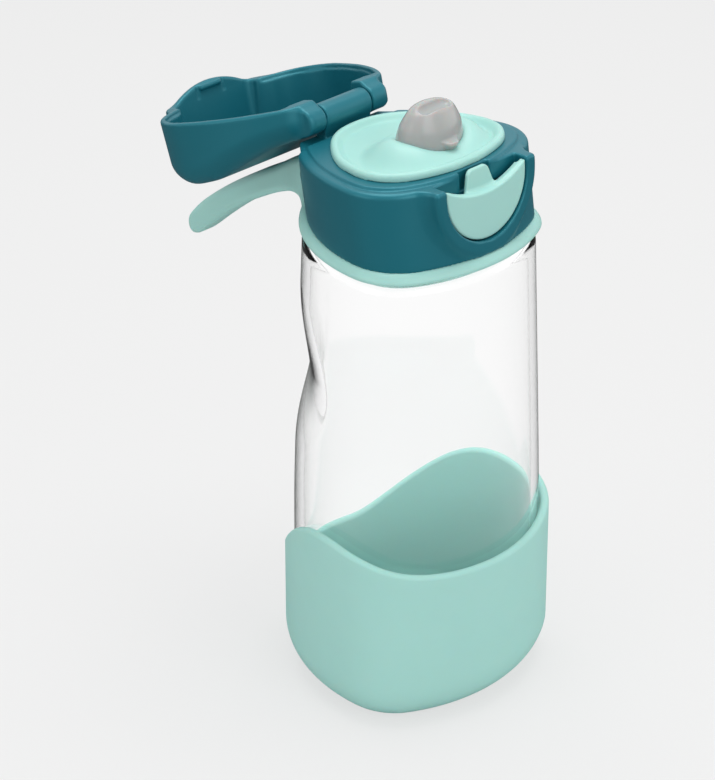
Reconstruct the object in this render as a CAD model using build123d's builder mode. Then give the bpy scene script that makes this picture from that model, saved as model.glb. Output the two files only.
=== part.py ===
"""Glass water bottle with a silicone boot, a carry arm and a flip cover over a soft spout.

Millimetres, +Z up. The origin is the centre of the boot's flat base, on the bottle's axis.
The latch faces -Y, and the hinge and the carry arm are at +Y. The cover is drawn closed and
then swung open about its hinge, because the model is handed over with the cover open.
"""
from math import atan2, cos, degrees, radians, sin, sqrt
import os

from build123d import *

# Glass bottle: three bowed sides and three round corners, one corner at +Y
GLASS_CORNER_REACH = 42.7
GLASS_FLAT_REACH = 36.9
GLASS_CORNER_RADIUS = 20.0
GLASS_STRAIGHT_HEIGHT = 60.0
GLASS_HEIGHT = 150.2
GLASS_TOP_INSET = 3.4
GLASS_WALL = 3.0
GLASS_FLOOR = 5.0
GLASS_FOOT_RADIUS = 11.0
GLASS_SHOULDER_RADIUS = 4.6
GRIP_DEPTH = 4.4
GRIP_HEIGHT = 50.0
GRIP_MIDDLE = 107.0

# Neck and its thread
NECK_RADIUS = 19.5
NECK_WALL = 2.5
NECK_HEIGHT = 21.8
THREAD_DEPTH = 1.2
THREAD_PITCH = 5.0
THREAD_ROOT = 2.1
THREAD_CREST = 1.1
THREAD_TURNS = 0.9
THREAD_START = 5.6
THREAD_GAP = 0.35
THREAD_SINK = 0.3

# Silicone boot
BOOT_WALL = 2.8
BOOT_FLOOR = 3.0
BOOT_GAP = 0.3
BOOT_SIDE_HEIGHT = 62.5
BOOT_FRONT_HEIGHT = 53.5
BOOT_REAR_HEIGHT = 31.5

# Gasket between the neck and the lid
GASKET_HEIGHT = 2.0
GASKET_WALL = 2.3

# Lid collar
COLLAR_CORNER_REACH = 38.5
COLLAR_FLAT_REACH = 32.0
COLLAR_CORNER_RADIUS = 17.5
COLLAR_TOP_CORNER_REACH = 38.9
COLLAR_TOP_FLAT_REACH = 32.5
COLLAR_TOP_CORNER_RADIUS = 18.0
COLLAR_TOP_SHIFT = 3.9
COLLAR_HEIGHT = 23.7
COLLAR_TOP_TILT = 2.0
COLLAR_TOP_ROUND = 1.4
COLLAR_WALL = 2.4
LEDGE_WIDTH = 3.0
ROOF_THICKNESS = 1.2
PLATEAU_HEIGHT = 1.0
SKIRT_WALL = 1.9
REAR_POCKET_FRONT = 26.1
REAR_POCKET_FLOOR = 170.5

# Ring under the collar, and its carry arm
RING_CORNER_REACH = 41.2
RING_FLAT_REACH = 34.7
RING_CORNER_RADIUS = 19.0
RING_HEIGHT = 3.5
RING_EDGE_ROUND = 0.6
RING_GAP = 0.3
RING_BORE_GAP = 0.3
RING_LIP_HEIGHT = 3.0
RING_LIP_WALL = 1.6
SNUG_GAP = 0.05
ARM_WIDTH = 10.0
ARM_EDGE_ROUND = 2.2
ARM_REACH = 96.5
ARM_ROOT_TOP = 170.4
ARM_DROP = 39.5
ARM_THICKNESS = 7.8

# Spout tray
TRAY_HALF_WIDTH = 28.9
TRAY_WIDEST = -6.5
TRAY_FRONT = 25.3
TRAY_REAR = 22.0
TRAY_RIM_HEIGHT = 2.5
TRAY_RIM_WIDTH = 2.6
TRAY_RIM_ROUND = 1.0
TRAY_DISH_FLOOR = 1.2
TRAY_MOUND_SPREAD = 7.5
TRAY_SEAT_HEIGHT = 5.2
TRAY_SEAT_WIDTH = 2.0

# Spout
SPOUT_Y = -6.0
SPOUT_HALF_WIDTH = 11.6
SPOUT_HALF_DEPTH = 8.4
SPOUT_WAIST_HALF_WIDTH = 11.2
SPOUT_WAIST_HALF_DEPTH = 7.8
SPOUT_TIP_HALF_WIDTH = 7.0
SPOUT_TIP_HALF_DEPTH = 3.6
SPOUT_HEIGHT = 16.8
SPOUT_LIP_ROUND = 1.0
SPOUT_WALL = 2.2
SPOUT_FLANGE = 3.0
SPOUT_FLANGE_HEIGHT = 2.0
SPOUT_SLIT_LENGTH = 7.0
SPOUT_SLIT_WIDTH = 0.8
SPOUT_GAP = 0.3

# Vent valve in the deck
VENT_Y = 12.0
VENT_STEM_RADIUS = 1.5
VENT_CAP_RADIUS = 3.4
VENT_CAP_HEIGHT = 1.0
VENT_BULB_RADIUS = 2.4

# Seal under the tray's edge
SEAL_INSET = 5.0
SEAL_WIDTH = 1.8
SEAL_HEIGHT = 0.9

# Hinge
HINGE_Y = 30.9
HINGE_Z = 185.8
HINGE_PIN_RADIUS = 1.3
HINGE_RUNNING_GAP = 0.06
BARREL_RADIUS = 4.2
BARREL_HALF_LENGTH = 10.0
KNUCKLE_RADIUS = 4.4
KNUCKLE_GAP = 0.4
KNUCKLE_OUTER = 17.2
BARREL_WEB_FRONT = 27.6
BARREL_WEB_REAR = 31.8

# Flip cover
COVER_OPEN_ANGLE = 194.4
COVER_WALL = 2.3
COVER_SEAT_GAP = 0.3
COVER_INSET = 0.15
COVER_LEAN = 0.9
COVER_NOSE_ROUND = 6.0
COVER_FRONT_HEIGHT = 20.5
COVER_CROWN_HEIGHT = 22.6
COVER_CROWN_Y = -8.0
COVER_MIDDLE_HEIGHT = 14.6
COVER_NOTCH_FRONT = 25.8

# Latch: the button, its pocket in the collar and the tongue of the cover above it
LATCH_FACE_Y = -29.75
LATCH_CENTRE_Z = 179.2
LATCH_LEAN = 4.7
BUTTON_RADIUS = 17.7
BUTTON_HORN_HEIGHT = 2.6
BUTTON_RIM_DIP = 2.9
BUTTON_PLATE = 2.3
BUTTON_GAP = 0.35
BUTTON_EDGE_ROUND = 0.6
POCKET_DEPTH = 5.9
POCKET_WALL = 1.6
BEZEL_WIDTH = 3.9
BEZEL_PROUD = 0.4
TAB_BASE_WIDTH = 12.0
TAB_TOP_WIDTH = 7.6
TAB_HEIGHT = 6.8
TAB_FRONT = 2.9
TAB_THICKNESS = 1.8
TAB_SIDE_GAP = 0.8
NOTCH_DEPTH = 6.8
SHELF_HEIGHT = 2.4
LATCH_PIN_RADIUS = 0.9
LATCH_PIN_DROP = 14.6
LATCH_PIN_DEPTH = 3.6
LUG_HALF_WIDTH = 6.0
LUG_RADIUS = 1.9
TONGUE_HALF_WIDTH = 16.8
TONGUE_GAP = 1.3
CATCH_GAP = 0.6
SPRING_RADIUS = 1.7
SPRING_WIRE_RADIUS = 0.22
SPRING_TURNS = 3
SPRING_DROP = 9.0
SPRING_GAP = 0.9

# Heights that follow from the sizes above
glass_base = BOOT_FLOOR
shoulder_top = glass_base + GLASS_HEIGHT
neck_top = shoulder_top + NECK_HEIGHT
ring_base = shoulder_top + RING_GAP
collar_base = ring_base + RING_HEIGHT
deck_base = neck_top + GASKET_HEIGHT
collar_top = collar_base + COLLAR_HEIGHT

# The lid's top leans: it is higher at the latch than at the hinge
top_plane = Plane(
    origin=(0, COLLAR_TOP_SHIFT, collar_top),
    x_dir=(1, 0, 0),
    z_dir=(0, sin(radians(COLLAR_TOP_TILT)), cos(radians(COLLAR_TOP_TILT))),
)
plateau_plane = top_plane.offset(PLATEAU_HEIGHT)
hinge_axis = Axis((0, HINGE_Y, HINGE_Z), (1, 0, 0))
latch_plane = Plane(
    origin=(0, LATCH_FACE_Y, LATCH_CENTRE_Z),
    x_dir=(1, 0, 0),
    z_dir=(0, -cos(radians(LATCH_LEAN)), sin(radians(LATCH_LEAN))),
)
BEYOND = 60.0  # long enough to cut right through any piece


def rounded_triangle(corner_reach, flat_reach, corner_radius):
    """Three bowed sides and three round corners, tangent to each other, with a corner at +Y."""
    corner_offset = corner_reach - corner_radius
    gap = flat_reach - corner_offset / 2
    side_radius = (0.75 * corner_offset**2 + gap**2 - corner_radius**2) / (2 * (gap - corner_radius))
    side_offset = side_radius - flat_reach
    half_side = 90 - degrees(atan2(side_offset + corner_offset / 2, corner_offset * cos(radians(30))))
    with BuildSketch() as outline:
        with BuildLine():
            for side in (30, 150, 270):
                side_centre = Vector(-side_offset, 0).rotate(Axis.Z, side)
                CenterArc(side_centre, side_radius, side - half_side, 2 * half_side)
                corner_centre = Vector(corner_offset, 0).rotate(Axis.Z, side + 60)
                CenterArc(corner_centre, corner_radius, side + half_side, 120 - 2 * half_side)
        make_face()
    return outline.sketch


def inset_triangle(sizes, inset):
    """The rounded triangle of the given three sizes, moved inward all round."""
    corner_reach, flat_reach, corner_radius = sizes
    return rounded_triangle(corner_reach - inset, flat_reach - inset, corner_radius - inset)


glass_section = (GLASS_CORNER_REACH, GLASS_FLAT_REACH, GLASS_CORNER_RADIUS)
ring_section = (RING_CORNER_REACH, RING_FLAT_REACH, RING_CORNER_RADIUS)
collar_section = (COLLAR_CORNER_REACH, COLLAR_FLAT_REACH, COLLAR_CORNER_RADIUS)
collar_top_section = (COLLAR_TOP_CORNER_REACH, COLLAR_TOP_FLAT_REACH, COLLAR_TOP_CORNER_RADIUS)


def bottle_form(inset, base, top, foot_radius, shoulder_radius):
    """The bottle's body below its neck, moved inward by inset, with the two finger grips."""
    straight_top = glass_base + GLASS_STRAIGHT_HEIGHT
    grip_radius = (GRIP_HEIGHT**2 / 4 + GRIP_DEPTH**2) / (2 * GRIP_DEPTH)
    slope = GLASS_TOP_INSET / (GLASS_HEIGHT - GLASS_STRAIGHT_HEIGHT)
    grip_face = GLASS_FLAT_REACH - slope * (GRIP_MIDDLE - straight_top)
    grip_centre = grip_face - GRIP_DEPTH + grip_radius
    with BuildPart() as form:
        with BuildSketch(Plane.XY.offset(base)):
            add(inset_triangle(glass_section, inset))
        extrude(amount=straight_top - base)
        with BuildSketch(Plane.XY.offset(straight_top)):
            add(inset_triangle(glass_section, inset))
        with BuildSketch(Plane.XY.offset(top)):
            add(inset_triangle(glass_section, inset + slope * (top - straight_top)))
        loft(ruled=True)
        fillet(form.edges().group_by(Axis.Z)[0], foot_radius)
        fillet(form.edges().group_by(Axis.Z)[-1], shoulder_radius)
        for side in (30, 150):
            out = Vector(1, 0, 0).rotate(Axis.Z, side)
            grip_plane = Plane(origin=out * grip_centre + Vector(0, 0, GRIP_MIDDLE),
                               x_dir=(0, 0, 1), z_dir=Vector(0, 0, 1).cross(out))
            with BuildSketch(grip_plane):
                Circle(grip_radius + inset)
            extrude(amount=BEYOND, both=True, mode=Mode.SUBTRACT)
    return form.part


def thread_ridge(root_radius, direction, start, phase):
    """One helical ridge that stands out (direction 1) or in (direction -1) from a round wall."""
    sunk_radius = root_radius - direction * THREAD_SINK
    crest_radius = root_radius + direction * THREAD_DEPTH
    with BuildPart() as ridge:
        with BuildLine() as path:
            Helix(THREAD_PITCH, THREAD_PITCH * THREAD_TURNS, root_radius)
        with BuildSketch(Plane.XZ):
            with BuildLine():
                Polyline(
                    (sunk_radius, -THREAD_ROOT / 2),
                    (crest_radius, -THREAD_CREST / 2),
                    (crest_radius, THREAD_CREST / 2),
                    (sunk_radius, THREAD_ROOT / 2),
                    close=True,
                )
            make_face()
        sweep(path=path.wires()[0], is_frenet=True)
    return ridge.part.rotate(Axis.Z, phase).translate((0, 0, start))


def foot_form(inset, base, foot_radius):
    """A block with a rounded foot, shaped like the space that the boot keeps for the glass."""
    with BuildPart() as form:
        with BuildSketch(Plane.XY.offset(base)):
            add(inset_triangle(boot_gap_section, inset))
        extrude(amount=BOOT_SIDE_HEIGHT + BOOT_WALL)
        fillet(form.edges().group_by(Axis.Z)[0], foot_radius)
    return form.part


# Silicone boot: a deep cup round the foot of the glass, its rim cut to a wave
boot_gap_section = (
    GLASS_CORNER_REACH + BOOT_GAP,
    GLASS_FLAT_REACH + BOOT_GAP,
    GLASS_CORNER_RADIUS + BOOT_GAP,
)
boot_reach = GLASS_CORNER_REACH + BOOT_GAP + BOOT_WALL
with BuildPart() as silicone_boot:
    add(foot_form(-BOOT_WALL, 0, GLASS_FOOT_RADIUS + BOOT_GAP + BOOT_WALL))
    add(foot_form(0, BOOT_FLOOR, GLASS_FOOT_RADIUS + BOOT_GAP), mode=Mode.SUBTRACT)
    with BuildSketch(Plane.YZ):
        with BuildLine():
            wave = Spline(
                (-boot_reach, BOOT_FRONT_HEIGHT),
                (-0.72 * boot_reach, BOOT_FRONT_HEIGHT + 0.12 * (BOOT_SIDE_HEIGHT - BOOT_FRONT_HEIGHT)),
                (-0.1 * boot_reach, BOOT_SIDE_HEIGHT),
                (0.5 * boot_reach, (0.3 * BOOT_REAR_HEIGHT + 0.7 * BOOT_SIDE_HEIGHT)),
                (boot_reach, BOOT_REAR_HEIGHT),
            )
            Polyline(
                wave @ 1,
                (boot_reach, BOOT_SIDE_HEIGHT + BEYOND),
                (-boot_reach, BOOT_SIDE_HEIGHT + BEYOND),
                wave @ 0,
            )
        make_face()
    extrude(amount=BEYOND, both=True, mode=Mode.SUBTRACT)
silicone_boot.part.label = "silicone_boot"

# Glass bottle: one wall all round, a heavy floor, and a threaded neck
with BuildPart() as glass_body:
    add(bottle_form(0, glass_base, shoulder_top, GLASS_FOOT_RADIUS, GLASS_SHOULDER_RADIUS))
    with BuildSketch(Plane.XY.offset(shoulder_top - GLASS_WALL)):
        Circle(NECK_RADIUS)
    extrude(amount=NECK_HEIGHT + GLASS_WALL)
    fillet(glass_body.edges().group_by(Axis.Z)[-1], NECK_WALL / 3)
    add(thread_ridge(NECK_RADIUS, 1, shoulder_top + THREAD_START + THREAD_PITCH / 2, 0))
    add(
        bottle_form(
            GLASS_WALL,
            glass_base + GLASS_FLOOR,
            shoulder_top - GLASS_WALL,
            GLASS_FOOT_RADIUS - GLASS_WALL,
            GLASS_SHOULDER_RADIUS - GLASS_WALL,
        ),
        mode=Mode.SUBTRACT,
    )
    with BuildSketch(Plane.XY.offset(shoulder_top - 2 * GLASS_WALL)):
        Circle(NECK_RADIUS - NECK_WALL)
    extrude(amount=NECK_HEIGHT + BEYOND, mode=Mode.SUBTRACT)
glass_body.part.label = "glass_body"

# Neck gasket: a flat ring between the neck's lip and the deck of the lid
with BuildPart() as neck_gasket:
    with BuildSketch(Plane.XY.offset(neck_top)):
        Circle(NECK_RADIUS)
        Circle(NECK_RADIUS - GASKET_WALL, mode=Mode.SUBTRACT)
    extrude(amount=GASKET_HEIGHT)
neck_gasket.part.label = "neck_gasket"


def collar_form(inset, ceiling):
    """The collar's shape moved inward by inset, up to a ceiling, less the pocket behind the hinge."""
    with BuildPart() as form:
        with BuildSketch(Plane.XY.offset(collar_base)):
            add(inset_triangle(collar_section, inset))
        with BuildSketch(top_plane):
            add(inset_triangle(collar_top_section, inset))
        loft(ruled=True)
        with BuildSketch(Plane.XY.offset(REAR_POCKET_FLOOR - inset)):
            with Locations((0, REAR_POCKET_FRONT - inset)):
                Rectangle(2 * BEYOND, BEYOND, align=(Align.CENTER, Align.MIN))
        extrude(amount=BEYOND, mode=Mode.SUBTRACT)
        with BuildSketch(Plane.XY.offset(ceiling)):
            Rectangle(2 * BEYOND, 2 * BEYOND)
        extrude(amount=BEYOND, mode=Mode.SUBTRACT)
    return form.part


def latch_outline(radius, top):
    """A half round with straight sides up to the given height above its centre."""
    with BuildSketch() as outline:
        Circle(radius)
        Rectangle(2 * radius, radius, align=(Align.CENTER, Align.MIN))
        with Locations((0, top)):
            Rectangle(2 * BEYOND, BEYOND, align=(Align.CENTER, Align.MIN), mode=Mode.SUBTRACT)
    return outline.sketch


def latch_block(radius, top, front, depth):
    """The latch outline as a block, from a front over the latch face back to a depth behind it."""
    with BuildPart() as block:
        with BuildSketch(latch_plane.offset(front)):
            add(latch_outline(radius, top))
        extrude(amount=-(front + depth))
    return block.part


def bar(x_size, y_range, z_range):
    """A block centred across the lid, between two depths and two heights."""
    with BuildPart() as block:
        with BuildSketch(Plane.XY.offset(z_range[0])):
            with Locations((0, y_range[0])):
                Rectangle(x_size, y_range[1] - y_range[0], align=(Align.CENTER, Align.MIN))
        extrude(amount=z_range[1] - z_range[0])
    return block.part


def cross_rod(centre, radius, half_length):
    """A rod along X."""
    with BuildPart() as rod:
        with BuildSketch(Plane(origin=centre, x_dir=(0, 1, 0), z_dir=(1, 0, 0))):
            Circle(radius)
        extrude(amount=half_length, both=True)
    return rod.part


hinge_centre = Vector(0, HINGE_Y, HINGE_Z)
latch_pin_centre = latch_plane.from_local_coords(Vector(0, -LATCH_PIN_DROP, -LATCH_PIN_DEPTH))
pocket_radius = BUTTON_RADIUS + BUTTON_GAP
latch_pin_half_length = sqrt(pocket_radius**2 - LATCH_PIN_DROP**2) + POCKET_WALL
bezel_top = collar_top - LATCH_CENTRE_Z + sin(radians(COLLAR_TOP_TILT)) * (COLLAR_TOP_SHIFT - LATCH_FACE_Y)
skirt_bore = NECK_RADIUS + THREAD_DEPTH + THREAD_GAP
skirt_radius = skirt_bore + SKIRT_WALL
spout_plane = Plane(origin=plateau_plane.from_local_coords(Vector(0, SPOUT_Y - COLLAR_TOP_SHIFT, 0)),
                    x_dir=(1, 0, 0), z_dir=plateau_plane.z_dir)
vent_plane = Plane(origin=plateau_plane.from_local_coords(Vector(0, VENT_Y - COLLAR_TOP_SHIFT, 0)),
                   x_dir=(1, 0, 0), z_dir=plateau_plane.z_dir)


def tray_outline(inset):
    """The tray seen from above: nearly straight at the latch, bowed at the sides, round at the hinge."""
    half_width = TRAY_HALF_WIDTH - inset
    front = TRAY_FRONT - inset
    rear = TRAY_REAR - inset
    with BuildSketch() as outline:
        with BuildLine():
            Spline((0, -front), (half_width * 0.7, -front * 0.84), (half_width, TRAY_WIDEST),
                   tangents=((1, 0), (0, 1)))
            Spline((half_width, TRAY_WIDEST), (half_width * 0.66, rear * 0.72), (0, rear),
                   tangents=((0, 1), (-1, 0)))
            mirror(about=Plane.YZ)
        make_face()
    return outline.sketch


def spout_oval(half_width, half_depth):
    """An oval across the lid."""
    with BuildSketch() as oval:
        Ellipse(half_width, half_depth)
    return oval.sketch


# Lid collar: shell, deck, threaded skirt, latch bezel and hinge barrel in one moulding
with BuildPart() as lid_collar:
    add(collar_form(0, collar_top + BEYOND))
    top_rim = lid_collar.faces().sort_by(Axis.Z)[-1].edges()
    fillet(top_rim.filter_by(lambda edge: edge.center().Y < REAR_POCKET_FRONT - 1), COLLAR_TOP_ROUND)
    add(latch_block(pocket_radius + BEZEL_WIDTH, bezel_top, BEZEL_PROUD, POCKET_DEPTH / 2))
    add(collar_form(COLLAR_WALL, deck_base), mode=Mode.SUBTRACT)
    add(latch_block(pocket_radius + POCKET_WALL, bezel_top - 1, 0, POCKET_DEPTH + POCKET_WALL))
    with BuildSketch(Plane.XY.offset(ring_base + RING_HEIGHT / 2)):
        Circle(skirt_radius)
    extrude(amount=deck_base - ring_base - RING_HEIGHT / 2)
    with BuildSketch(Plane.XY.offset(ring_base)):
        Circle(skirt_bore)
    extrude(amount=deck_base - ring_base, mode=Mode.SUBTRACT)
    add(thread_ridge(skirt_bore, -1, shoulder_top + THREAD_START, 0))
    add(latch_block(pocket_radius, BEYOND, BEYOND / 10, POCKET_DEPTH), mode=Mode.SUBTRACT)
    with BuildSketch(top_plane.offset(-ROOF_THICKNESS)):
        add(inset_triangle(collar_top_section, LEDGE_WIDTH))
    extrude(amount=ROOF_THICKNESS + PLATEAU_HEIGHT)
    add(bar(2 * BEYOND, (REAR_POCKET_FRONT, BEYOND), (REAR_POCKET_FLOOR, collar_top + BEYOND)),
        mode=Mode.SUBTRACT)
    add(bar(TAB_BASE_WIDTH + 2 * TAB_SIDE_GAP, (-BEYOND, LATCH_FACE_Y + NOTCH_DEPTH),
            (deck_base, collar_top + BEYOND)), mode=Mode.SUBTRACT)
    add(bar(2 * BARREL_HALF_LENGTH, (REAR_POCKET_FRONT - COLLAR_WALL / 2, BARREL_WEB_REAR),
            (REAR_POCKET_FLOOR - COLLAR_WALL, collar_top - COLLAR_WALL)))
    add(bar(2 * BARREL_HALF_LENGTH, (BARREL_WEB_FRONT, BARREL_WEB_REAR),
            (REAR_POCKET_FLOOR, HINGE_Z)))
    add(cross_rod(hinge_centre, BARREL_RADIUS, BARREL_HALF_LENGTH))
    add(cross_rod(hinge_centre, HINGE_PIN_RADIUS + SNUG_GAP, BARREL_HALF_LENGTH + 1), mode=Mode.SUBTRACT)
    add(cross_rod(latch_pin_centre, LATCH_PIN_RADIUS + SNUG_GAP, latch_pin_half_length + SNUG_GAP),
        mode=Mode.SUBTRACT)
    with BuildSketch(spout_plane):
        add(spout_oval(SPOUT_HALF_WIDTH - SPOUT_WALL, SPOUT_HALF_DEPTH - SPOUT_WALL))
    extrude(amount=BEYOND / 6, both=True, mode=Mode.SUBTRACT)
    with BuildSketch(vent_plane):
        Circle(VENT_CAP_RADIUS + SPOUT_GAP)
    extrude(amount=-VENT_CAP_HEIGHT, mode=Mode.SUBTRACT)
    with BuildSketch(vent_plane):
        Circle(VENT_STEM_RADIUS + SNUG_GAP)
    extrude(amount=BEYOND / 6, both=True, mode=Mode.SUBTRACT)
    with BuildSketch(plateau_plane):
        add(tray_outline(SEAL_INSET - SNUG_GAP))
        add(tray_outline(SEAL_INSET + SEAL_WIDTH + SNUG_GAP), mode=Mode.SUBTRACT)
    extrude(amount=-SEAL_HEIGHT, mode=Mode.SUBTRACT)
lid_collar.part.label = "lid_collar"

# Lip of the ring, which clips inside the foot of the collar
with BuildPart() as ring_lip:
    add(collar_form(COLLAR_WALL + SNUG_GAP, collar_base + RING_LIP_HEIGHT))
    add(collar_form(COLLAR_WALL + SNUG_GAP + RING_LIP_WALL, collar_base + RING_LIP_HEIGHT), mode=Mode.SUBTRACT)

# Ring that closes the collar's underside, with the carry arm at the rear
with BuildPart() as handle_ring:
    with BuildSketch(Plane.XY.offset(ring_base)):
        add(inset_triangle(ring_section, 0))
    with BuildSketch(Plane.XY.offset(collar_base)):
        add(inset_triangle(collar_section, 0))
    loft(ruled=True)
    fillet(handle_ring.edges().group_by(Axis.Z)[0], RING_EDGE_ROUND)
    with BuildSketch(Plane.YZ):
        with BuildLine():
            arm_top = Spline(
                (COLLAR_CORNER_REACH, ARM_ROOT_TOP),
                (ARM_REACH * 0.58, ARM_ROOT_TOP - 0.25 * ARM_DROP),
                (ARM_REACH * 0.81, ARM_ROOT_TOP - 0.57 * ARM_DROP),
                (ARM_REACH, ARM_ROOT_TOP - ARM_DROP),
            )
            arm_foot = Spline(
                (ARM_REACH - 0.6 * ARM_THICKNESS, ARM_ROOT_TOP - ARM_DROP - 0.85 * ARM_THICKNESS),
                (ARM_REACH * 0.75, ARM_ROOT_TOP - 0.49 * ARM_DROP - ARM_THICKNESS * 1.3),
                (ARM_REACH * 0.56, ring_base - 0.5 * RING_EDGE_ROUND),
                (COLLAR_CORNER_REACH, ring_base + 0.1 * RING_HEIGHT),
            )
            ThreePointArc(
                arm_top @ 1,
                (ARM_REACH + 0.05 * ARM_THICKNESS, ARM_ROOT_TOP - ARM_DROP - 0.6 * ARM_THICKNESS),
                arm_foot @ 0,
            )
            Line(arm_foot @ 1, arm_top @ 0)
        make_face()
    extrude(amount=ARM_WIDTH / 2, both=True)
    arm_sides = handle_ring.faces().filter_by(Plane.YZ).filter_by(lambda face: face.area > ARM_WIDTH**2)
    arm_edges = ShapeList([edge for face in arm_sides for edge in face.edges()])
    fillet(arm_edges.filter_by(lambda edge: edge.center().Y > RING_CORNER_REACH + 1), ARM_EDGE_ROUND)
    add(collar_form(-SNUG_GAP, collar_top + BEYOND), mode=Mode.SUBTRACT)
    add(ring_lip.part)
    add(latch_block(pocket_radius + POCKET_WALL + BUTTON_GAP, BEYOND, BEYOND / 10, BEYOND / 4),
        mode=Mode.SUBTRACT)
    with BuildSketch(Plane.XY.offset(ring_base - RING_HEIGHT)):
        Circle(skirt_radius + RING_BORE_GAP)
    extrude(amount=BEYOND, mode=Mode.SUBTRACT)
handle_ring.part.label = "handle_ring"

# Spout tray: a shallow dish with a raised rim and a mound that holds the spout
with BuildPart() as spout_tray:
    with BuildSketch(plateau_plane):
        add(tray_outline(0))
    extrude(amount=TRAY_RIM_HEIGHT)
    fillet(spout_tray.faces().sort_by(Axis.Z)[-1].edges(), TRAY_RIM_ROUND)
    with BuildSketch(plateau_plane.offset(TRAY_DISH_FLOOR)):
        add(tray_outline(TRAY_RIM_WIDTH))
    extrude(amount=TRAY_RIM_HEIGHT, mode=Mode.SUBTRACT)
    with BuildSketch(spout_plane):
        add(spout_oval(SPOUT_HALF_WIDTH + TRAY_MOUND_SPREAD, SPOUT_HALF_DEPTH + TRAY_MOUND_SPREAD))
    with BuildSketch(spout_plane.offset(TRAY_SEAT_HEIGHT)):
        add(spout_oval(SPOUT_HALF_WIDTH + TRAY_SEAT_WIDTH, SPOUT_HALF_DEPTH + TRAY_SEAT_WIDTH))
    loft(ruled=True)
    with BuildSketch(spout_plane):
        add(spout_oval(SPOUT_HALF_WIDTH + SPOUT_FLANGE + SPOUT_GAP,
                       SPOUT_HALF_DEPTH + SPOUT_FLANGE + SPOUT_GAP))
    extrude(amount=SPOUT_FLANGE_HEIGHT, mode=Mode.SUBTRACT)
    with BuildSketch(spout_plane):
        add(spout_oval(SPOUT_HALF_WIDTH + SPOUT_GAP, SPOUT_HALF_DEPTH + SPOUT_GAP))
    extrude(amount=BEYOND, mode=Mode.SUBTRACT)
spout_tray.part.label = "spout_tray"

# Seal in the plateau's groove, under the tray's edge
with BuildPart() as tray_seal:
    with BuildSketch(plateau_plane):
        add(tray_outline(SEAL_INSET))
        add(tray_outline(SEAL_INSET + SEAL_WIDTH), mode=Mode.SUBTRACT)
    extrude(amount=-SEAL_HEIGHT)
tray_seal.part.label = "tray_seal"


def spout_shape(inset, height):
    """The spout's upright body moved inward by inset: an oval foot that narrows to a lip."""
    with BuildPart() as shape:
        with BuildSketch(spout_plane):
            add(spout_oval(SPOUT_HALF_WIDTH - inset, SPOUT_HALF_DEPTH - inset))
        with BuildSketch(spout_plane.offset(height / 2)):
            add(spout_oval(SPOUT_WAIST_HALF_WIDTH - inset, SPOUT_WAIST_HALF_DEPTH - inset))
        with BuildSketch(spout_plane.offset(height)):
            add(spout_oval(SPOUT_TIP_HALF_WIDTH - inset, SPOUT_TIP_HALF_DEPTH - inset))
        loft()
    return shape.part


# Spout: soft oval mouthpiece with a flange under the tray and a slit in its dished lip
with BuildPart() as spout:
    add(spout_shape(0, SPOUT_HEIGHT))
    fillet(spout.edges().group_by(Axis.Z)[-1], SPOUT_LIP_ROUND)
    with BuildSketch(spout_plane):
        add(spout_oval(SPOUT_HALF_WIDTH + SPOUT_FLANGE, SPOUT_HALF_DEPTH + SPOUT_FLANGE))
    extrude(amount=SPOUT_FLANGE_HEIGHT)
    add(spout_shape(SPOUT_WALL, SPOUT_HEIGHT - SPOUT_WALL), mode=Mode.SUBTRACT)
    with BuildSketch(spout_plane.offset(SPOUT_HEIGHT / 2)):
        SlotOverall(SPOUT_SLIT_LENGTH, SPOUT_SLIT_WIDTH)
    extrude(amount=SPOUT_HEIGHT, mode=Mode.SUBTRACT)
spout.part.label = "spout"

# Vent valve: a small mushroom that lets air in as the bottle empties
with BuildPart() as vent_valve:
    with BuildSketch(vent_plane):
        Circle(VENT_CAP_RADIUS)
    extrude(amount=-VENT_CAP_HEIGHT)
    with BuildSketch(vent_plane):
        Circle(VENT_STEM_RADIUS)
    extrude(amount=-(collar_top - deck_base + 2 * VENT_CAP_HEIGHT))
    with BuildSketch(Plane.XY.offset(deck_base - SPOUT_GAP)):
        with Locations((0, VENT_Y)):
            Circle(VENT_BULB_RADIUS)
    extrude(amount=-VENT_BULB_RADIUS, taper=20)
vent_valve.part.label = "vent_valve"

# Hinge pin, held in the barrel and running in the cover's two knuckles
with BuildPart() as hinge_pin:
    add(cross_rod(hinge_centre, HINGE_PIN_RADIUS, KNUCKLE_OUTER - COVER_INSET))
    chamfer(hinge_pin.edges(), HINGE_PIN_RADIUS / 5)
hinge_pin.part.label = "hinge_pin"


def cover_outline(inset):
    """The cover seen from above: the collar's outline and the nose over the latch bezel."""
    nose_half_width = pocket_radius + BEZEL_WIDTH
    nose_front = LATCH_FACE_Y - BEZEL_PROUD - COLLAR_TOP_SHIFT
    with BuildSketch() as outline:
        add(inset_triangle(collar_top_section, COVER_INSET + inset))
        with Locations((0, nose_front + inset)):
            RectangleRounded(2 * (nose_half_width - inset), COLLAR_TOP_FLAT_REACH,
                             COVER_NOSE_ROUND - inset, align=(Align.CENTER, Align.MIN))
    return outline.sketch


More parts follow.
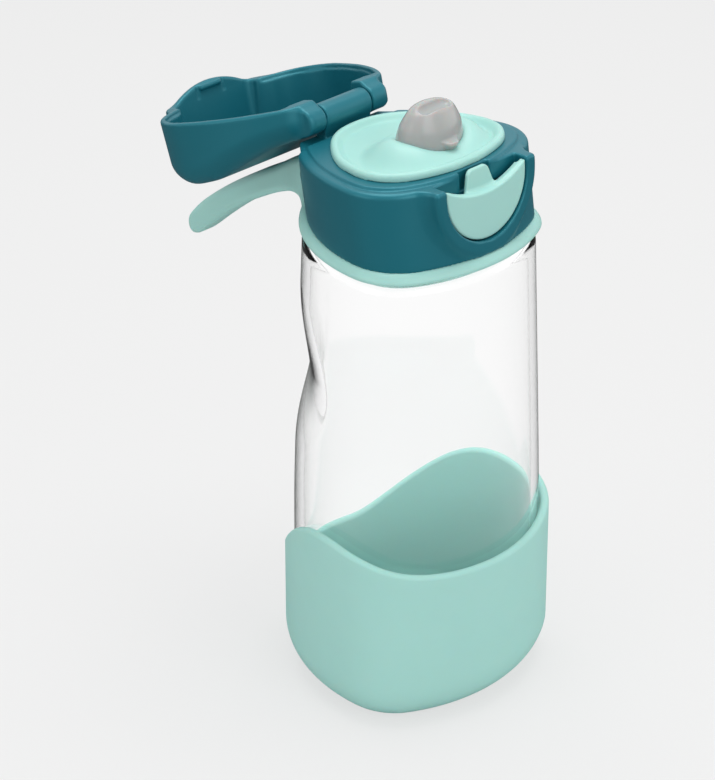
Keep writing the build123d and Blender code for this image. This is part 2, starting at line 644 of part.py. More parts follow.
def cover_form(inset, rear):
    """The closed cover's shape moved inward by inset, and cut off at a depth towards the hinge."""
    seat = top_plane.offset(COVER_SEAT_GAP)
    with BuildPart() as form:
        with BuildSketch(seat.offset(-inset)):
            add(cover_outline(inset))
        with BuildSketch(seat.offset(COVER_CROWN_HEIGHT + COVER_WALL)):
            add(cover_outline(inset + COVER_LEAN))
        loft(ruled=True)
        with BuildSketch(Plane.YZ):
            with BuildLine():
                crown = Spline(
                    (LATCH_FACE_Y - COVER_WALL, collar_top + COVER_FRONT_HEIGHT - inset),
                    (COVER_CROWN_Y, collar_top + COVER_CROWN_HEIGHT - inset),
                    (HINGE_Y / 2, collar_top + COVER_MIDDLE_HEIGHT - inset),
                    (HINGE_Y + COVER_WALL, HINGE_Z + KNUCKLE_RADIUS - inset),
                )
                Polyline(
                    crown @ 1,
                    (HINGE_Y + COVER_WALL, HINGE_Z + BEYOND),
                    (HINGE_Y + BEYOND, HINGE_Z + BEYOND),
                    (HINGE_Y + BEYOND, HINGE_Z + 2 * BEYOND),
                    (-BEYOND, HINGE_Z + 2 * BEYOND),
                    (-BEYOND, collar_top + COVER_FRONT_HEIGHT - inset),
                    crown @ 0,
                )
            make_face()
        extrude(amount=BEYOND, both=True, mode=Mode.SUBTRACT)
        with BuildSketch(Plane.XY.offset(collar_base)):
            with Locations((0, rear)):
                Rectangle(2 * BEYOND, BEYOND, align=(Align.CENTER, Align.MIN))
        extrude(amount=BEYOND, mode=Mode.SUBTRACT)
    return form.part


def tongue_outline():
    """The cover's tongue: an arched lower edge that follows the dip in the button's rim."""
    side_height = BUTTON_HORN_HEIGHT + TONGUE_GAP / 2
    with BuildSketch() as outline:
        with BuildLine():
            ThreePointArc(
                (-TONGUE_HALF_WIDTH, side_height),
                (0, TONGUE_GAP - BUTTON_RIM_DIP),
                (TONGUE_HALF_WIDTH, side_height),
            )
            Polyline(
                (TONGUE_HALF_WIDTH, side_height),
                (TONGUE_HALF_WIDTH, side_height + COVER_WALL),
                (-TONGUE_HALF_WIDTH, side_height + COVER_WALL),
                (-TONGUE_HALF_WIDTH, side_height),
            )
        make_face()
    return outline.sketch


# Flip cover, drawn closed
notch_half_width = BARREL_HALF_LENGTH + KNUCKLE_GAP
with BuildPart() as closed_cover:
    add(cover_form(0, HINGE_Y))
    add(cover_form(COVER_WALL, COVER_NOTCH_FRONT - COVER_WALL), mode=Mode.SUBTRACT)
    add(bar(2 * notch_half_width, (COVER_NOTCH_FRONT, BEYOND), (collar_base, HINGE_Z + BEYOND)),
        mode=Mode.SUBTRACT)
    add(bar(2 * notch_half_width + 4 * COVER_WALL, (0, COVER_NOTCH_FRONT + KNUCKLE_GAP),
            (collar_base, collar_top + PLATEAU_HEIGHT + TRAY_RIM_HEIGHT + KNUCKLE_GAP)), mode=Mode.SUBTRACT)
    with BuildSketch(top_plane):
        add(inset_triangle(collar_top_section, LEDGE_WIDTH - KNUCKLE_GAP))
    extrude(amount=PLATEAU_HEIGHT + 2 * KNUCKLE_GAP, mode=Mode.SUBTRACT)
    for side in (-1, 1):
        knuckle_centre = hinge_centre + Vector(side * (notch_half_width + KNUCKLE_OUTER) / 2, 0, 0)
        add(cross_rod(knuckle_centre, KNUCKLE_RADIUS, (KNUCKLE_OUTER - notch_half_width) / 2))
    add(cross_rod(hinge_centre, HINGE_PIN_RADIUS + HINGE_RUNNING_GAP, BEYOND / 2), mode=Mode.SUBTRACT)
    with BuildSketch(latch_plane):
        add(tongue_outline())
    extrude(amount=-COVER_WALL)
    with BuildSketch(latch_plane.offset(-COVER_WALL / 2)):
        with Locations((0, BUTTON_HORN_HEIGHT + TONGUE_GAP)):
            Rectangle(TAB_BASE_WIDTH * 0.75, TONGUE_GAP)
    extrude(amount=-(TAB_FRONT - COVER_WALL / 2 - CATCH_GAP))
flip_cover = closed_cover.part.rotate(hinge_axis, -COVER_OPEN_ANGLE)
flip_cover.label = "flip_cover"

# Latch button: shield-shaped plate, shelf, tab and the lug it turns on
with BuildPart() as latch_button:
    with BuildSketch(latch_plane):
        add(latch_outline(BUTTON_RADIUS, BUTTON_HORN_HEIGHT))
        with BuildLine():
            ThreePointArc(
                (-BUTTON_RADIUS + BUTTON_EDGE_ROUND, BUTTON_HORN_HEIGHT),
                (0, -BUTTON_RIM_DIP),
                (BUTTON_RADIUS - BUTTON_EDGE_ROUND, BUTTON_HORN_HEIGHT),
            )
            Line((BUTTON_RADIUS - BUTTON_EDGE_ROUND, BUTTON_HORN_HEIGHT),
                 (-BUTTON_RADIUS + BUTTON_EDGE_ROUND, BUTTON_HORN_HEIGHT))
        make_face(mode=Mode.SUBTRACT)
    extrude(amount=-BUTTON_PLATE)
    with BuildSketch(latch_plane.offset(-BUTTON_PLATE / 2)):
        with Locations((0, -BUTTON_RIM_DIP - SHELF_HEIGHT)):
            Rectangle(BUTTON_RADIUS * 1.4, SHELF_HEIGHT, align=(Align.CENTER, Align.MIN))
        with Locations((0, -LATCH_PIN_DROP)):
            Rectangle(2 * LUG_HALF_WIDTH, 2 * LUG_RADIUS)
    extrude(amount=-(LATCH_PIN_DEPTH - BUTTON_PLATE / 2))
    with BuildSketch(latch_plane.offset(-TAB_FRONT)):
        with BuildLine():
            Polyline(
                (-TAB_BASE_WIDTH / 2, -BUTTON_RIM_DIP - SHELF_HEIGHT),
                (TAB_BASE_WIDTH / 2, -BUTTON_RIM_DIP - SHELF_HEIGHT),
                (TAB_BASE_WIDTH / 2, -BUTTON_RIM_DIP + SHELF_HEIGHT),
                (TAB_TOP_WIDTH / 2, TAB_HEIGHT),
                (-TAB_TOP_WIDTH / 2, TAB_HEIGHT),
                (-TAB_BASE_WIDTH / 2, -BUTTON_RIM_DIP + SHELF_HEIGHT),
                close=True,
            )
        make_face()
    extrude(amount=-TAB_THICKNESS)
    add(cross_rod(latch_pin_centre, LUG_RADIUS, LUG_HALF_WIDTH))
    add(cross_rod(latch_pin_centre, LATCH_PIN_RADIUS + HINGE_RUNNING_GAP, BEYOND / 2), mode=Mode.SUBTRACT)
latch_button.part.label = "latch_button"

# Latch pin, across the foot of the pocket
with BuildPart() as latch_pin:
    add(cross_rod(latch_pin_centre, LATCH_PIN_RADIUS, latch_pin_half_length))
latch_pin.part.label = "latch_pin"

# Latch spring: a small coil between the pocket's back and the button
spring_length = POCKET_DEPTH - BUTTON_PLATE - SPRING_GAP
spring_seat_depth = POCKET_DEPTH - SPRING_WIRE_RADIUS - SNUG_GAP
spring_seat = latch_plane.from_local_coords(Vector(0, -SPRING_DROP, -spring_seat_depth))
spring_plane = Plane(origin=spring_seat, x_dir=(1, 0, 0), z_dir=latch_plane.z_dir)
with BuildPart() as latch_spring:
    with BuildLine() as coil:
        Helix(spring_length / SPRING_TURNS, spring_length, SPRING_RADIUS)
    with BuildSketch(Plane(coil.wires()[0] @ 0, z_dir=coil.wires()[0] % 0)):
        Circle(SPRING_WIRE_RADIUS)
    sweep(path=coil.wires()[0], is_frenet=True)
latch_spring_coil = spring_plane.location * latch_spring.part
latch_spring_coil.label = "latch_spring"

os.makedirs("parts", exist_ok=True)
pieces = [
    silicone_boot.part,
    glass_body.part,
    neck_gasket.part,
    lid_collar.part,
    handle_ring.part,
    spout_tray.part,
    tray_seal.part,
    spout.part,
    vent_valve.part,
    hinge_pin.part,
    flip_cover,
    latch_button.part,
    latch_pin.part,
    latch_spring_coil,
]
for piece in pieces:
    export_step(piece, f"parts/{piece.label}.step")
    print(piece.label, len(piece.solids()), round(piece.volume), piece.bounding_box())
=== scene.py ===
# %% [markdown]
# A glass water bottle for a child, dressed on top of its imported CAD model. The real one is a
# three-sided clear glass bottle in a soft silicone boot. A screw lid carries a spout under a
# flip cover, a press latch at the front and a carry arm at the rear. Sizes are worked in
# millimetres, because that is how such a bottle is drawn, and turned to metres when a mesh
# is made.

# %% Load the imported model
from math import cos, pi, radians, sin

import bpy
import numpy as np
import openvdb
from mathutils import Matrix, Vector


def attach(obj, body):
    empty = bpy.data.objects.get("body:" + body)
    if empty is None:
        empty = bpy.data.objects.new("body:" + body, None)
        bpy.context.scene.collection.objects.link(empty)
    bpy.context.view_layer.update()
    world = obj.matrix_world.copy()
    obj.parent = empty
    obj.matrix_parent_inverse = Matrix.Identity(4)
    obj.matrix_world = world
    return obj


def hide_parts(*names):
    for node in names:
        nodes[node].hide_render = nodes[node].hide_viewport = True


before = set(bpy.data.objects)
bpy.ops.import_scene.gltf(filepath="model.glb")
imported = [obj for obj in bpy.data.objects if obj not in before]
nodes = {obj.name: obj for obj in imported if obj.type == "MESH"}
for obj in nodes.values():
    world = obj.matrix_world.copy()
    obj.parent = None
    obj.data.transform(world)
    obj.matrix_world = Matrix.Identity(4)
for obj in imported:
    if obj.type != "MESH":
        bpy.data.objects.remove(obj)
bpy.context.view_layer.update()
MM = 0.001

# %% [markdown]
# Colours are written as sRGB hex values, the way a colour card or a mould maker gives them.
# Blender's shaders want linear light, so one function turns each value over.
# A second small function adds a shader node with its settings and its links, so that each
# material below reads as a short list of what the real surface does.

# %% Colour and node helpers
def linear(hex_colour):
    """An sRGB hex colour as a linear RGBA tuple."""
    channels = [int(hex_colour[i:i + 2], 16) / 255 for i in (1, 3, 5)]
    return tuple(c / 12.92 if c <= 0.04045 else ((c + 0.055) / 1.055)**2.4 for c in channels) + (1.0,)


def add_node(tree, kind, settings=None, links=None, **values):
    """A shader node with its settings, its socket values, and links from other nodes' sockets."""
    made = tree.nodes.new(kind)
    for key, value in (settings or {}).items():
        setattr(made, key, value)
    for key, value in values.items():
        made.inputs[key.replace("_", " ")].default_value = value
    for key, source in (links or {}).items():
        tree.links.new(source, made.inputs[key])
    return made


print("mint in linear light:", [round(c, 3) for c in linear("#A1D3CB")])

# %% [markdown]
# Moulded plastic and silicone are never one flat colour. The tool's surface leaves a fine
# spark-eroded grain that breaks up the gloss, and the colour drifts a little where the melt
# flowed. One recipe serves all of them: a base colour with a slow drift, a roughness that
# wanders, and a bump from a fine grain. Its values come from each material's real finish.

# %% Moulded materials
def moulded(name, colour, drift_colour, roughness, ior, grain_mm, grain_depth_mm, drift_mm=14.0,
            **shader_values):
    """A moulded polymer: slow colour drift, wandering roughness, and a fine grain from the tool."""
    material = bpy.data.materials.new(name)
    material.use_nodes = True
    tree = material.node_tree
    shader = tree.nodes["Principled BSDF"]
    shader.inputs["IOR"].default_value = ior
    for key, value in shader_values.items():
        shader.inputs[key.replace("_", " ")].default_value = value
    place = add_node(tree, "ShaderNodeTexCoord").outputs["Object"]
    drift = add_node(tree, "ShaderNodeTexNoise", links={"Vector": place},
                     Scale=1 / (drift_mm * MM), Detail=2.0, Roughness=0.45)
    mix = add_node(tree, "ShaderNodeMix", {"data_type": "RGBA"}, links={0: drift.outputs["Fac"]})
    mix.inputs[6].default_value = linear(colour)
    mix.inputs[7].default_value = linear(drift_colour)
    tree.links.new(mix.outputs[2], shader.inputs["Base Color"])
    gloss = add_node(tree, "ShaderNodeMapRange", links={"Value": drift.outputs["Fac"]},
                     From_Min=0.3, From_Max=0.7, To_Min=roughness - 0.04, To_Max=roughness + 0.05)
    tree.links.new(gloss.outputs["Result"], shader.inputs["Roughness"])
    grain = add_node(tree, "ShaderNodeTexNoise", links={"Vector": place},
                     Scale=1 / (grain_mm * MM), Detail=3.0, Roughness=0.6)
    bump = add_node(tree, "ShaderNodeBump", links={"Height": grain.outputs["Fac"]},
                    Strength=0.35, Distance=grain_depth_mm * MM)
    tree.links.new(bump.outputs["Normal"], shader.inputs["Normal"])
    return material


# Silicone rubber, compression moulded: soft matt skin that light enters a little
boot_silicone = moulded("silicone_rubber_mint", "#A8DAD2", "#A3D6CE", 0.56, 1.41, 0.45, 0.012,
                        Subsurface_Weight=0.12, Subsurface_Scale=0.004)
# Polypropylene, injection moulded: satin from the tool's fine grain
mint_plastic = moulded("polypropylene_mint", "#A1D3CB", "#9DCFC8", 0.42, 1.49, 0.35, 0.008,
                       Subsurface_Weight=0.06, Subsurface_Scale=0.003)
# The same plastic in a deep colour, where the sheen shows more: it is strong and a little teal
teal_plastic = moulded("polypropylene_teal", "#146371", "#125E6C", 0.38, 1.49, 0.35, 0.008,
                       Specular_IOR_Level=0.9, Specular_Tint=linear("#9CF3FF"))
# Liquid silicone, unpigmented: milky, and glossier than the boot
spout_silicone = moulded("liquid_silicone_clear", "#ACAEAD", "#A2A4A3", 0.18, 1.41, 0.5, 0.006, drift_mm=5.0,
                         Subsurface_Weight=0.35, Subsurface_Scale=0.006)
seal_silicone = moulded("liquid_silicone_white", "#DADEDB", "#D2D6D3", 0.5, 1.41, 0.4, 0.006)
# Stainless steel wire, drawn and polished: bright, with a very fine grain
steel = moulded("stainless_wire_drawn", "#C2C3C4", "#B5B6B8", 0.28, 1.5, 0.15, 0.003, Metallic=1.0)
print("moulded and drawn:", [material.name for material in bpy.data.materials])

# %% [markdown]
# The bottle is pressed borosilicate glass, clear and smooth. Straight through a wall it has no
# colour. Where a wall turns away from the eye, the line of sight runs through much more glass
# and bends towards darker surroundings, so its edges look grey. Here that grey is painted into
# the glass's colour with the slant of the surface: partly the longer path through the glass,
# partly painted shade for the darker surroundings seen in the edges. A volume could give the
# first part, but that takes many more samples. Clear glass throws next to no shadow, so rays
# that look for light pass straight through it.

# %% Glass
def pressed_glass(name):
    """Clear glass with painted grey shade where it is seen at a slant, and that hardly shades what is behind
    it.
    """
    material = bpy.data.materials.new(name)
    material.use_nodes = True
    tree = material.node_tree
    shader = tree.nodes["Principled BSDF"]
    surface = {"Roughness": 0.0, "IOR": 1.47, "Transmission Weight": 1.0, "Specular IOR Level": 0.12}
    for socket, value in surface.items():
        shader.inputs[socket].default_value = value
    slant = add_node(tree, "ShaderNodeLayerWeight", Blend=0.5)
    edge = add_node(tree, "ShaderNodeMapRange", {"interpolation_type": "SMOOTHSTEP"},
                    links={"Value": slant.outputs["Facing"]}, From_Min=0.72, From_Max=0.97)
    # Painted shade: the grey mixed in at a slant stands partly for the longer path through glass, partly for
    # darker surroundings
    slant_painted_shade = add_node(tree, "ShaderNodeMix", {"data_type": "RGBA"}, links={0: edge.outputs["Result"]})
    slant_painted_shade.inputs[6].default_value = linear("#FFFFFF")
    slant_painted_shade.inputs[7].default_value = linear("#7C8380")
    tree.links.new(slant_painted_shade.outputs[2], shader.inputs["Base Color"])
    path = add_node(tree, "ShaderNodeLightPath")
    lit = add_node(tree, "ShaderNodeMath", {"operation": "MAXIMUM"},
                   links={0: path.outputs["Is Shadow Ray"], 1: path.outputs["Is Diffuse Ray"]})
    clear = add_node(tree, "ShaderNodeBsdfTransparent", Color=linear("#FEFFFF"))
    mix = add_node(tree, "ShaderNodeMixShader",
                   links={0: lit.outputs[0], 1: shader.outputs[0], 2: clear.outputs[0]})
    tree.links.new(mix.outputs[0], tree.nodes["Material Output"].inputs["Surface"])
    return material


clear_glass = pressed_glass("borosilicate_glass_pressed")
print("glass:", clear_glass.name)

# %% [markdown]
# Every cross-section of this bottle is the same family of curve: three gently bowed sides
# and three round corners. Three numbers describe it: how far the corners reach, how far the
# sides reach, and the corners' radius. Two functions below read that curve in two ways: one
# gives its radius at an angle, for walls drawn ring by ring, and the other gives the distance
# to it from any point, for the moulded shapes of the lid.

# %% The three-sided section
def section_arcs(corner, flat, radius):
    """Where the section's arcs are centred, how large the side arc is, and half its angle."""
    offset = corner - radius
    gap = flat - offset / 2
    side_radius = (0.75 * offset**2 + gap**2 - radius**2) / (2 * (gap - radius))
    side_offset = side_radius - flat
    half = np.arctan2(offset * sin(pi / 3), side_offset + offset / 2)
    return offset, side_radius, side_offset, half


def fold(angle):
    """An angle measured from the middle of the nearest side, and which side that is."""
    turned = angle - pi / 6
    side = np.round(turned / (2 * pi / 3))
    return turned - side * 2 * pi / 3, side.astype(int) % 3


def section_radius(angle, corner, flat, radius):
    """The section's polar radius."""
    offset, side_radius, side_offset, half = section_arcs(corner, flat, radius)
    folded = np.abs(fold(angle)[0])
    turn = np.arctan2(side_radius * np.sin(half), side_radius * np.cos(half) - side_offset)
    on_side = -side_offset * np.cos(folded) + np.sqrt(side_radius**2 - (side_offset * np.sin(folded))**2)
    from_corner = pi / 3 - folded
    on_corner = offset * np.cos(from_corner) + np.sqrt(
        np.maximum(radius**2 - (offset * np.sin(from_corner))**2, 0))
    return np.where(folded < turn, on_side, on_corner)


def section_distance(x, y, corner, flat, radius):
    """The distance from a point to the section, negative inside it."""
    offset, side_radius, side_offset, half = section_arcs(corner, flat, radius)
    folded, _ = fold(np.arctan2(y, x))
    reach = np.hypot(x, y)
    u, v = reach * np.cos(folded), np.abs(reach * np.sin(folded))
    on_side = np.arctan2(v, u + side_offset) < half
    return np.where(on_side, np.hypot(u + side_offset, v) - side_radius,
                    np.hypot(u - offset / 2, v - offset * sin(pi / 3)) - radius)


GLASS, GLASS_FOOT = (42.7, 36.9, 20.0), 11.0
print("glass reaches", section_radius(np.array([pi / 2, -pi / 2]), *GLASS))

# %% [markdown]
# Each new piece is finished the same way: its points become a mesh in metres, it gets its
# material and smooth shading, it rides on a body, and it stands for the CAD nodes it replaces.

# %% Finish a piece
def finish_piece(name, points, faces, material, body, slot, replaced):
    """A mesh object from points in millimetres, riding on a body and standing for CAD nodes."""
    mesh = bpy.data.meshes.new(name)
    mesh.from_pydata([tuple(p) for p in np.asarray(points, float) * MM], [], [tuple(f) for f in faces])
    mesh.validate()
    mesh.shade_smooth()
    mesh.materials.append(material)
    piece = bpy.data.objects.new(name, mesh)
    bpy.context.scene.collection.objects.link(piece)
    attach(piece, body)
    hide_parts(*replaced)
    print(name, "has", len(mesh.polygons), "faces")
    return piece


def lathe_faces(rows, columns):
    """Quads between closed rings, and a fan of triangles at each end."""
    faces = []
    for r in range(rows - 1):
        for c in range(columns):
            d = (c + 1) % columns
            faces.append((r * columns + c, r * columns + d, (r + 1) * columns + d, (r + 1) * columns + c))
    first, last = rows * columns, rows * columns + 1
    for c in range(columns):
        d = (c + 1) % columns
        faces.append((first, d, c))
        faces.append((last, (rows - 1) * columns + c, (rows - 1) * columns + d))
    return faces


def rings_to_mesh(name, rings, ends, **finish):
    """A closed skin through rings of points that run outside to inside, with a point at each end."""
    rings = np.asarray(rings)
    rows, columns, _ = rings.shape
    points = np.concatenate([rings.reshape(-1, 3), np.asarray(ends, float)])
    faces = [tuple(reversed(f)) for f in lathe_faces(rows, columns)]
    return finish_piece(name, points, faces, **finish)


# %% [markdown]
# The silicone boot is a deep cup with a wall of 2.8 mm, an ample radius at its foot and a rim
# that dips at the front and lower still at the rear corner. It could be a sculpted cylinder,
# but a skin drawn ring by ring keeps its wall even: up the inside, over the round rim and
# down the outside. The rim's height depends only on how far towards the rear a point is.

# %% Silicone boot
COLUMNS = 384
angles = np.linspace(0, 2 * pi, COLUMNS, endpoint=False)
BOOT_WALL, BOOT_FLOOR, BOOT_GAP = 2.8, 3.0, 0.3
RIM_Y = [-42, -40, -33, -26, -17, -5, 2, 8, 15, 20.5, 25.8, 30.8, 39, 42, 46]
RIM_Z = [53.4, 53.5, 54.7, 57.2, 60.2, 62.3, 62.4, 61.2, 57.8, 53.4, 48.2, 43.0, 35.0, 32.6, 31.6]


def smooth_curve(at, xs, ys, blur=3.0):
    """A curve through the given points with its corners softened."""
    fine = np.linspace(xs[0], xs[-1], 400)
    step = fine[1] - fine[0]
    value = np.interp(fine, xs, ys)
    reach = np.arange(-int(3 * blur / step), int(3 * blur / step) + 1) * step
    weights = np.exp(-(reach / blur)**2)
    padded = np.pad(value, len(reach) // 2, mode="reflect", reflect_type="odd")
    return np.interp(at, fine, np.convolve(padded, weights / weights.sum(), mode="valid"))


def ring(inset, z, scale=1.0):
    """One ring of the boot: the section moved inward, at a height, or shrunk to the middle."""
    corner, flat, radius = (s + BOOT_GAP + BOOT_WALL - inset for s in GLASS)
    reach = section_radius(angles, corner, flat, radius) * scale
    return np.stack([reach * np.cos(angles), reach * np.sin(angles), np.broadcast_to(z, angles.shape)], -1)


def boot_rings():
    """Rings from the middle of the cup's floor, up the inside, over the rim and down to the base."""
    foot_in = GLASS_FOOT + BOOT_GAP
    foot_out = foot_in + BOOT_WALL
    rim_round = BOOT_WALL / 2
    wall_ring = ring(rim_round, 0)
    rim_height = smooth_curve(wall_ring[:, 1], RIM_Y, RIM_Z)
    rings = [ring(BOOT_WALL + foot_in, BOOT_FLOOR, s) for s in np.linspace(0.1, 1, 8)]
    for t in np.linspace(0, pi / 2, 14)[1:]:
        rings.append(ring(BOOT_WALL + foot_in * (1 - sin(t)), BOOT_FLOOR + foot_in * (1 - cos(t))))
    inner_start = BOOT_FLOOR + foot_in
    for t in np.linspace(0, 1, 26)[1:]:
        rings.append(ring(BOOT_WALL, inner_start + t * (rim_height - rim_round - inner_start)))
    for t in np.linspace(0, pi, 11)[1:]:
        rings.append(ring(rim_round * (1 + cos(t)), rim_height - rim_round + rim_round * sin(t)))
    for t in np.linspace(1, 0, 26)[1:]:
        rings.append(ring(0, foot_out + t * (rim_height - rim_round - foot_out)))
    for t in np.linspace(pi / 2, 0, 18)[1:]:
        rings.append(ring(foot_out * (1 - sin(t)), foot_out * (1 - cos(t))))
    rings += [ring(foot_out, 0, s) for s in np.linspace(1, 0.1, 8)[1:]]
    return rings


boot = rings_to_mesh("boot_cup", boot_rings(), [(0, 0, BOOT_FLOOR), (0, 0, 0)], material=boot_silicone,
                     body="boot", slot="boot_silicone", replaced=["silicone_boot"])

# %% [markdown]
# The glass is drawn the same way, with its own wall of 3 mm and a heavy floor. From about 60 mm
# up it narrows, and each of the two rear sides has a shallow dent for the fingers. A dent is a
# flat cut whose depth swells and fades with height, turned from the middle of its side towards
# the rear corner and blended softly into the bow. Where a side's large arc meets a corner's
# small one, real glass has no sudden change of curve, and clear walls would show one as a kink
# in whatever is seen through them, so each ring is eased. The neck carries one helical
# thread, which stands out of the ring's radius as it passes.

# %% Glass body
GLASS_WALL, GLASS_BASE, GLASS_FLOOR, SHOULDER, NECK_TOP = 3.0, 3.0, 5.0, 153.2, 175.0
NECK_RADIUS, NECK_WALL = 19.5, 2.5
TAPER, TAPER_START, TAPER_SOFT = 3.4, 63.0, 10.0
EASE_DEGREES = 6.0
GRIP_DEPTH, GRIP_LOW, GRIP_MIDDLE, GRIP_HIGH = 5.6, 76.0, 104.0, 138.0
GRIP_TURN, GRIP_SPAN, GRIP_SOFT, GRIP_CLEAR = radians(44.5), 1.2, 6.0, 0.85
THREAD_START, THREAD_PITCH, THREAD_TURNS, THREAD_RUN_IN = 8.1, 5.0, 0.9, 0.25
THREAD_HALF, THREAD_FLANK, THREAD_DEPTH = 1.05, 0.5, 1.2


def eased(reach, degrees):
    """A ring's radii with every change of curvature spread over a few degrees."""
    waves = np.fft.rfft(reach)
    return np.fft.irfft(waves * np.exp(-(np.arange(len(waves)) * radians(degrees))**2 / 2), len(reach))


def glass_ring(inset, z, scale=1.0):
    """One ring of the glass wall, with the taper and the finger dents at that height."""
    above = z - TAPER_START
    taper = TAPER * (above + np.hypot(above, TAPER_SOFT)) / 2 / (SHOULDER - TAPER_START)
    corner, flat, radius = (s - inset - taper for s in GLASS)
    reach = eased(section_radius(angles, corner, flat, radius), EASE_DEGREES)
    rise = np.interp(z, [GRIP_LOW, GRIP_MIDDLE, GRIP_HIGH], [0, 1, 0])
    depth = GRIP_DEPTH * rise**2 * (3 - 2 * rise)
    from_grip = np.abs(np.abs(np.mod(angles - pi / 2 + pi, 2 * pi) - pi) - GRIP_TURN)
    # Away from its middle height the cut stands clear of the bow, so that the blend fades too
    bowed = flat + GRIP_CLEAR + GRIP_SOFT * (0.30 + 0.75 * (1 - rise)**2)
    grip = np.where(from_grip < GRIP_SPAN, (bowed - depth) / np.cos(np.minimum(from_grip, GRIP_SPAN)), 1e3)
    share = np.clip(0.5 + 0.5 * (grip - reach) / GRIP_SOFT, 0, 1)
    reach = (grip * (1 - share) + reach * share - GRIP_SOFT * share * (1 - share)) * scale
    return np.stack([reach * np.cos(angles), reach * np.sin(angles), np.full(angles.shape, z)], -1)


def neck_ring(radius, z):
    """One ring of the neck, pushed out where the thread passes."""
    turned = np.mod(angles, 2 * pi)
    thread_z = SHOULDER + THREAD_START + THREAD_PITCH * turned / (2 * pi)
    along = np.clip(np.minimum(turned, THREAD_TURNS * 2 * pi - turned) / THREAD_RUN_IN, 0, 1)
    ridge = np.clip((THREAD_HALF - np.abs(z - thread_z)) / THREAD_FLANK, 0, 1) * THREAD_DEPTH * along
    reach = radius + (ridge if radius == NECK_RADIUS else 0)
    return np.stack([reach * np.cos(angles), reach * np.sin(angles), np.full(angles.shape, z)], -1)


def glass_rings():
    """Rings from the middle of the inside floor up the inside, over the lip and down the outside."""
    foot_out, foot_in, shoulder_out, shoulder_in = GLASS_FOOT, GLASS_FOOT - GLASS_WALL, 4.6, 1.6
    floor, ceiling = GLASS_BASE + GLASS_FLOOR, SHOULDER - GLASS_WALL
    rings = [glass_ring(GLASS_WALL + foot_in, floor, s) for s in np.linspace(0.1, 1, 8)]
    for t in np.linspace(0, pi / 2, 12)[1:]:
        rings.append(glass_ring(GLASS_WALL + foot_in * (1 - sin(t)), floor + foot_in * (1 - cos(t))))
    for z in np.linspace(floor + foot_in, ceiling - shoulder_in, 110)[1:]:
        rings.append(glass_ring(GLASS_WALL, z))
    for t in np.linspace(0, pi / 2, 7)[1:]:
        z = ceiling - shoulder_in * (1 - sin(t))
        rings.append(glass_ring(GLASS_WALL + shoulder_in * (1 - cos(t)), z))
    inner_edge = glass_ring(GLASS_WALL + shoulder_in, ceiling)
    bore = neck_ring(NECK_RADIUS - NECK_WALL, ceiling)
    rings += [inner_edge * (1 - t) + bore * t for t in np.linspace(0, 1, 8)[1:]]
    lip = NECK_WALL / 2
    rings += [neck_ring(NECK_RADIUS - NECK_WALL, z) for z in np.linspace(ceiling, NECK_TOP - lip, 20)[1:]]
    for t in np.linspace(0, pi, 9)[1:-1]:
        rings.append(neck_ring(NECK_RADIUS - lip - lip * cos(t), NECK_TOP - lip + lip * sin(t)))
    rings += [neck_ring(NECK_RADIUS, z) for z in np.linspace(NECK_TOP - lip, SHOULDER, 64)]
    outer_edge = glass_ring(shoulder_out, SHOULDER)
    rings += [rings[-1] * (1 - t) + outer_edge * t for t in np.linspace(0, 1, 8)[1:]]
    for t in np.linspace(pi / 2, 0, 9)[1:]:
        rings.append(glass_ring(shoulder_out * (1 - cos(t)), SHOULDER - shoulder_out * (1 - sin(t))))
    for z in np.linspace(SHOULDER - shoulder_out, GLASS_BASE + foot_out, 120)[1:]:
        rings.append(glass_ring(0, z))
    for t in np.linspace(pi / 2, 0, 14)[1:]:
        rings.append(glass_ring(foot_out * (1 - sin(t)), GLASS_BASE + foot_out * (1 - cos(t))))
    rings += [glass_ring(foot_out, GLASS_BASE, s) for s in np.linspace(1, 0.1, 8)[1:]]
    return rings


glass_middles = [(0, 0, GLASS_BASE + GLASS_FLOOR), (0, 0, GLASS_BASE)]
glass = rings_to_mesh("bottle_glass", glass_rings(), glass_middles,
                      material=clear_glass, body="bottle", slot="clear_glass", replaced=["glass_body"])

# %% [markdown]
# The lid's mouldings are full of soft blends: walls that melt into bosses, rounded rims and
# filleted roots. Bevels and subdivision could make each one, but where five of them meet it
# is simpler to describe the solid as a field of distances, as a mould's CAD kernel does.
# A field is negative inside the plastic. Two fields join or cut with a round of a chosen
# radius, and a voxel grid turns the zero level into an even skin of quads.

# %% Fields of distance
def block_of_points(low, high, step):
    """X, Y and Z of a grid of points between two corners."""
    axes = [np.arange(a, b + step, step) for a, b in zip(low, high)]
    return np.meshgrid(*axes, indexing="ij")


def join(a, b, blend=0.0):
    """The union of two fields, with a fillet where they meet."""
    if blend == 0:
        return np.minimum(a, b)
    return np.maximum(blend, np.minimum(a, b)) - np.hypot(np.maximum(blend - a, 0), np.maximum(blend - b, 0))


def common(a, b, edge=0.0):
    """What two fields share, with a rounded edge."""
    if edge == 0:
        return np.maximum(a, b)
    return np.minimum(-edge, np.maximum(a, b)) + np.hypot(np.maximum(edge + a, 0), np.maximum(edge + b, 0))


def cut(a, b, edge=0.0):
    """The first field less the second."""
    return common(a, -b, edge)


def slab(value, low, high):
    """The distance to the space between two parallel planes."""
    return np.maximum(low - value, value - high)


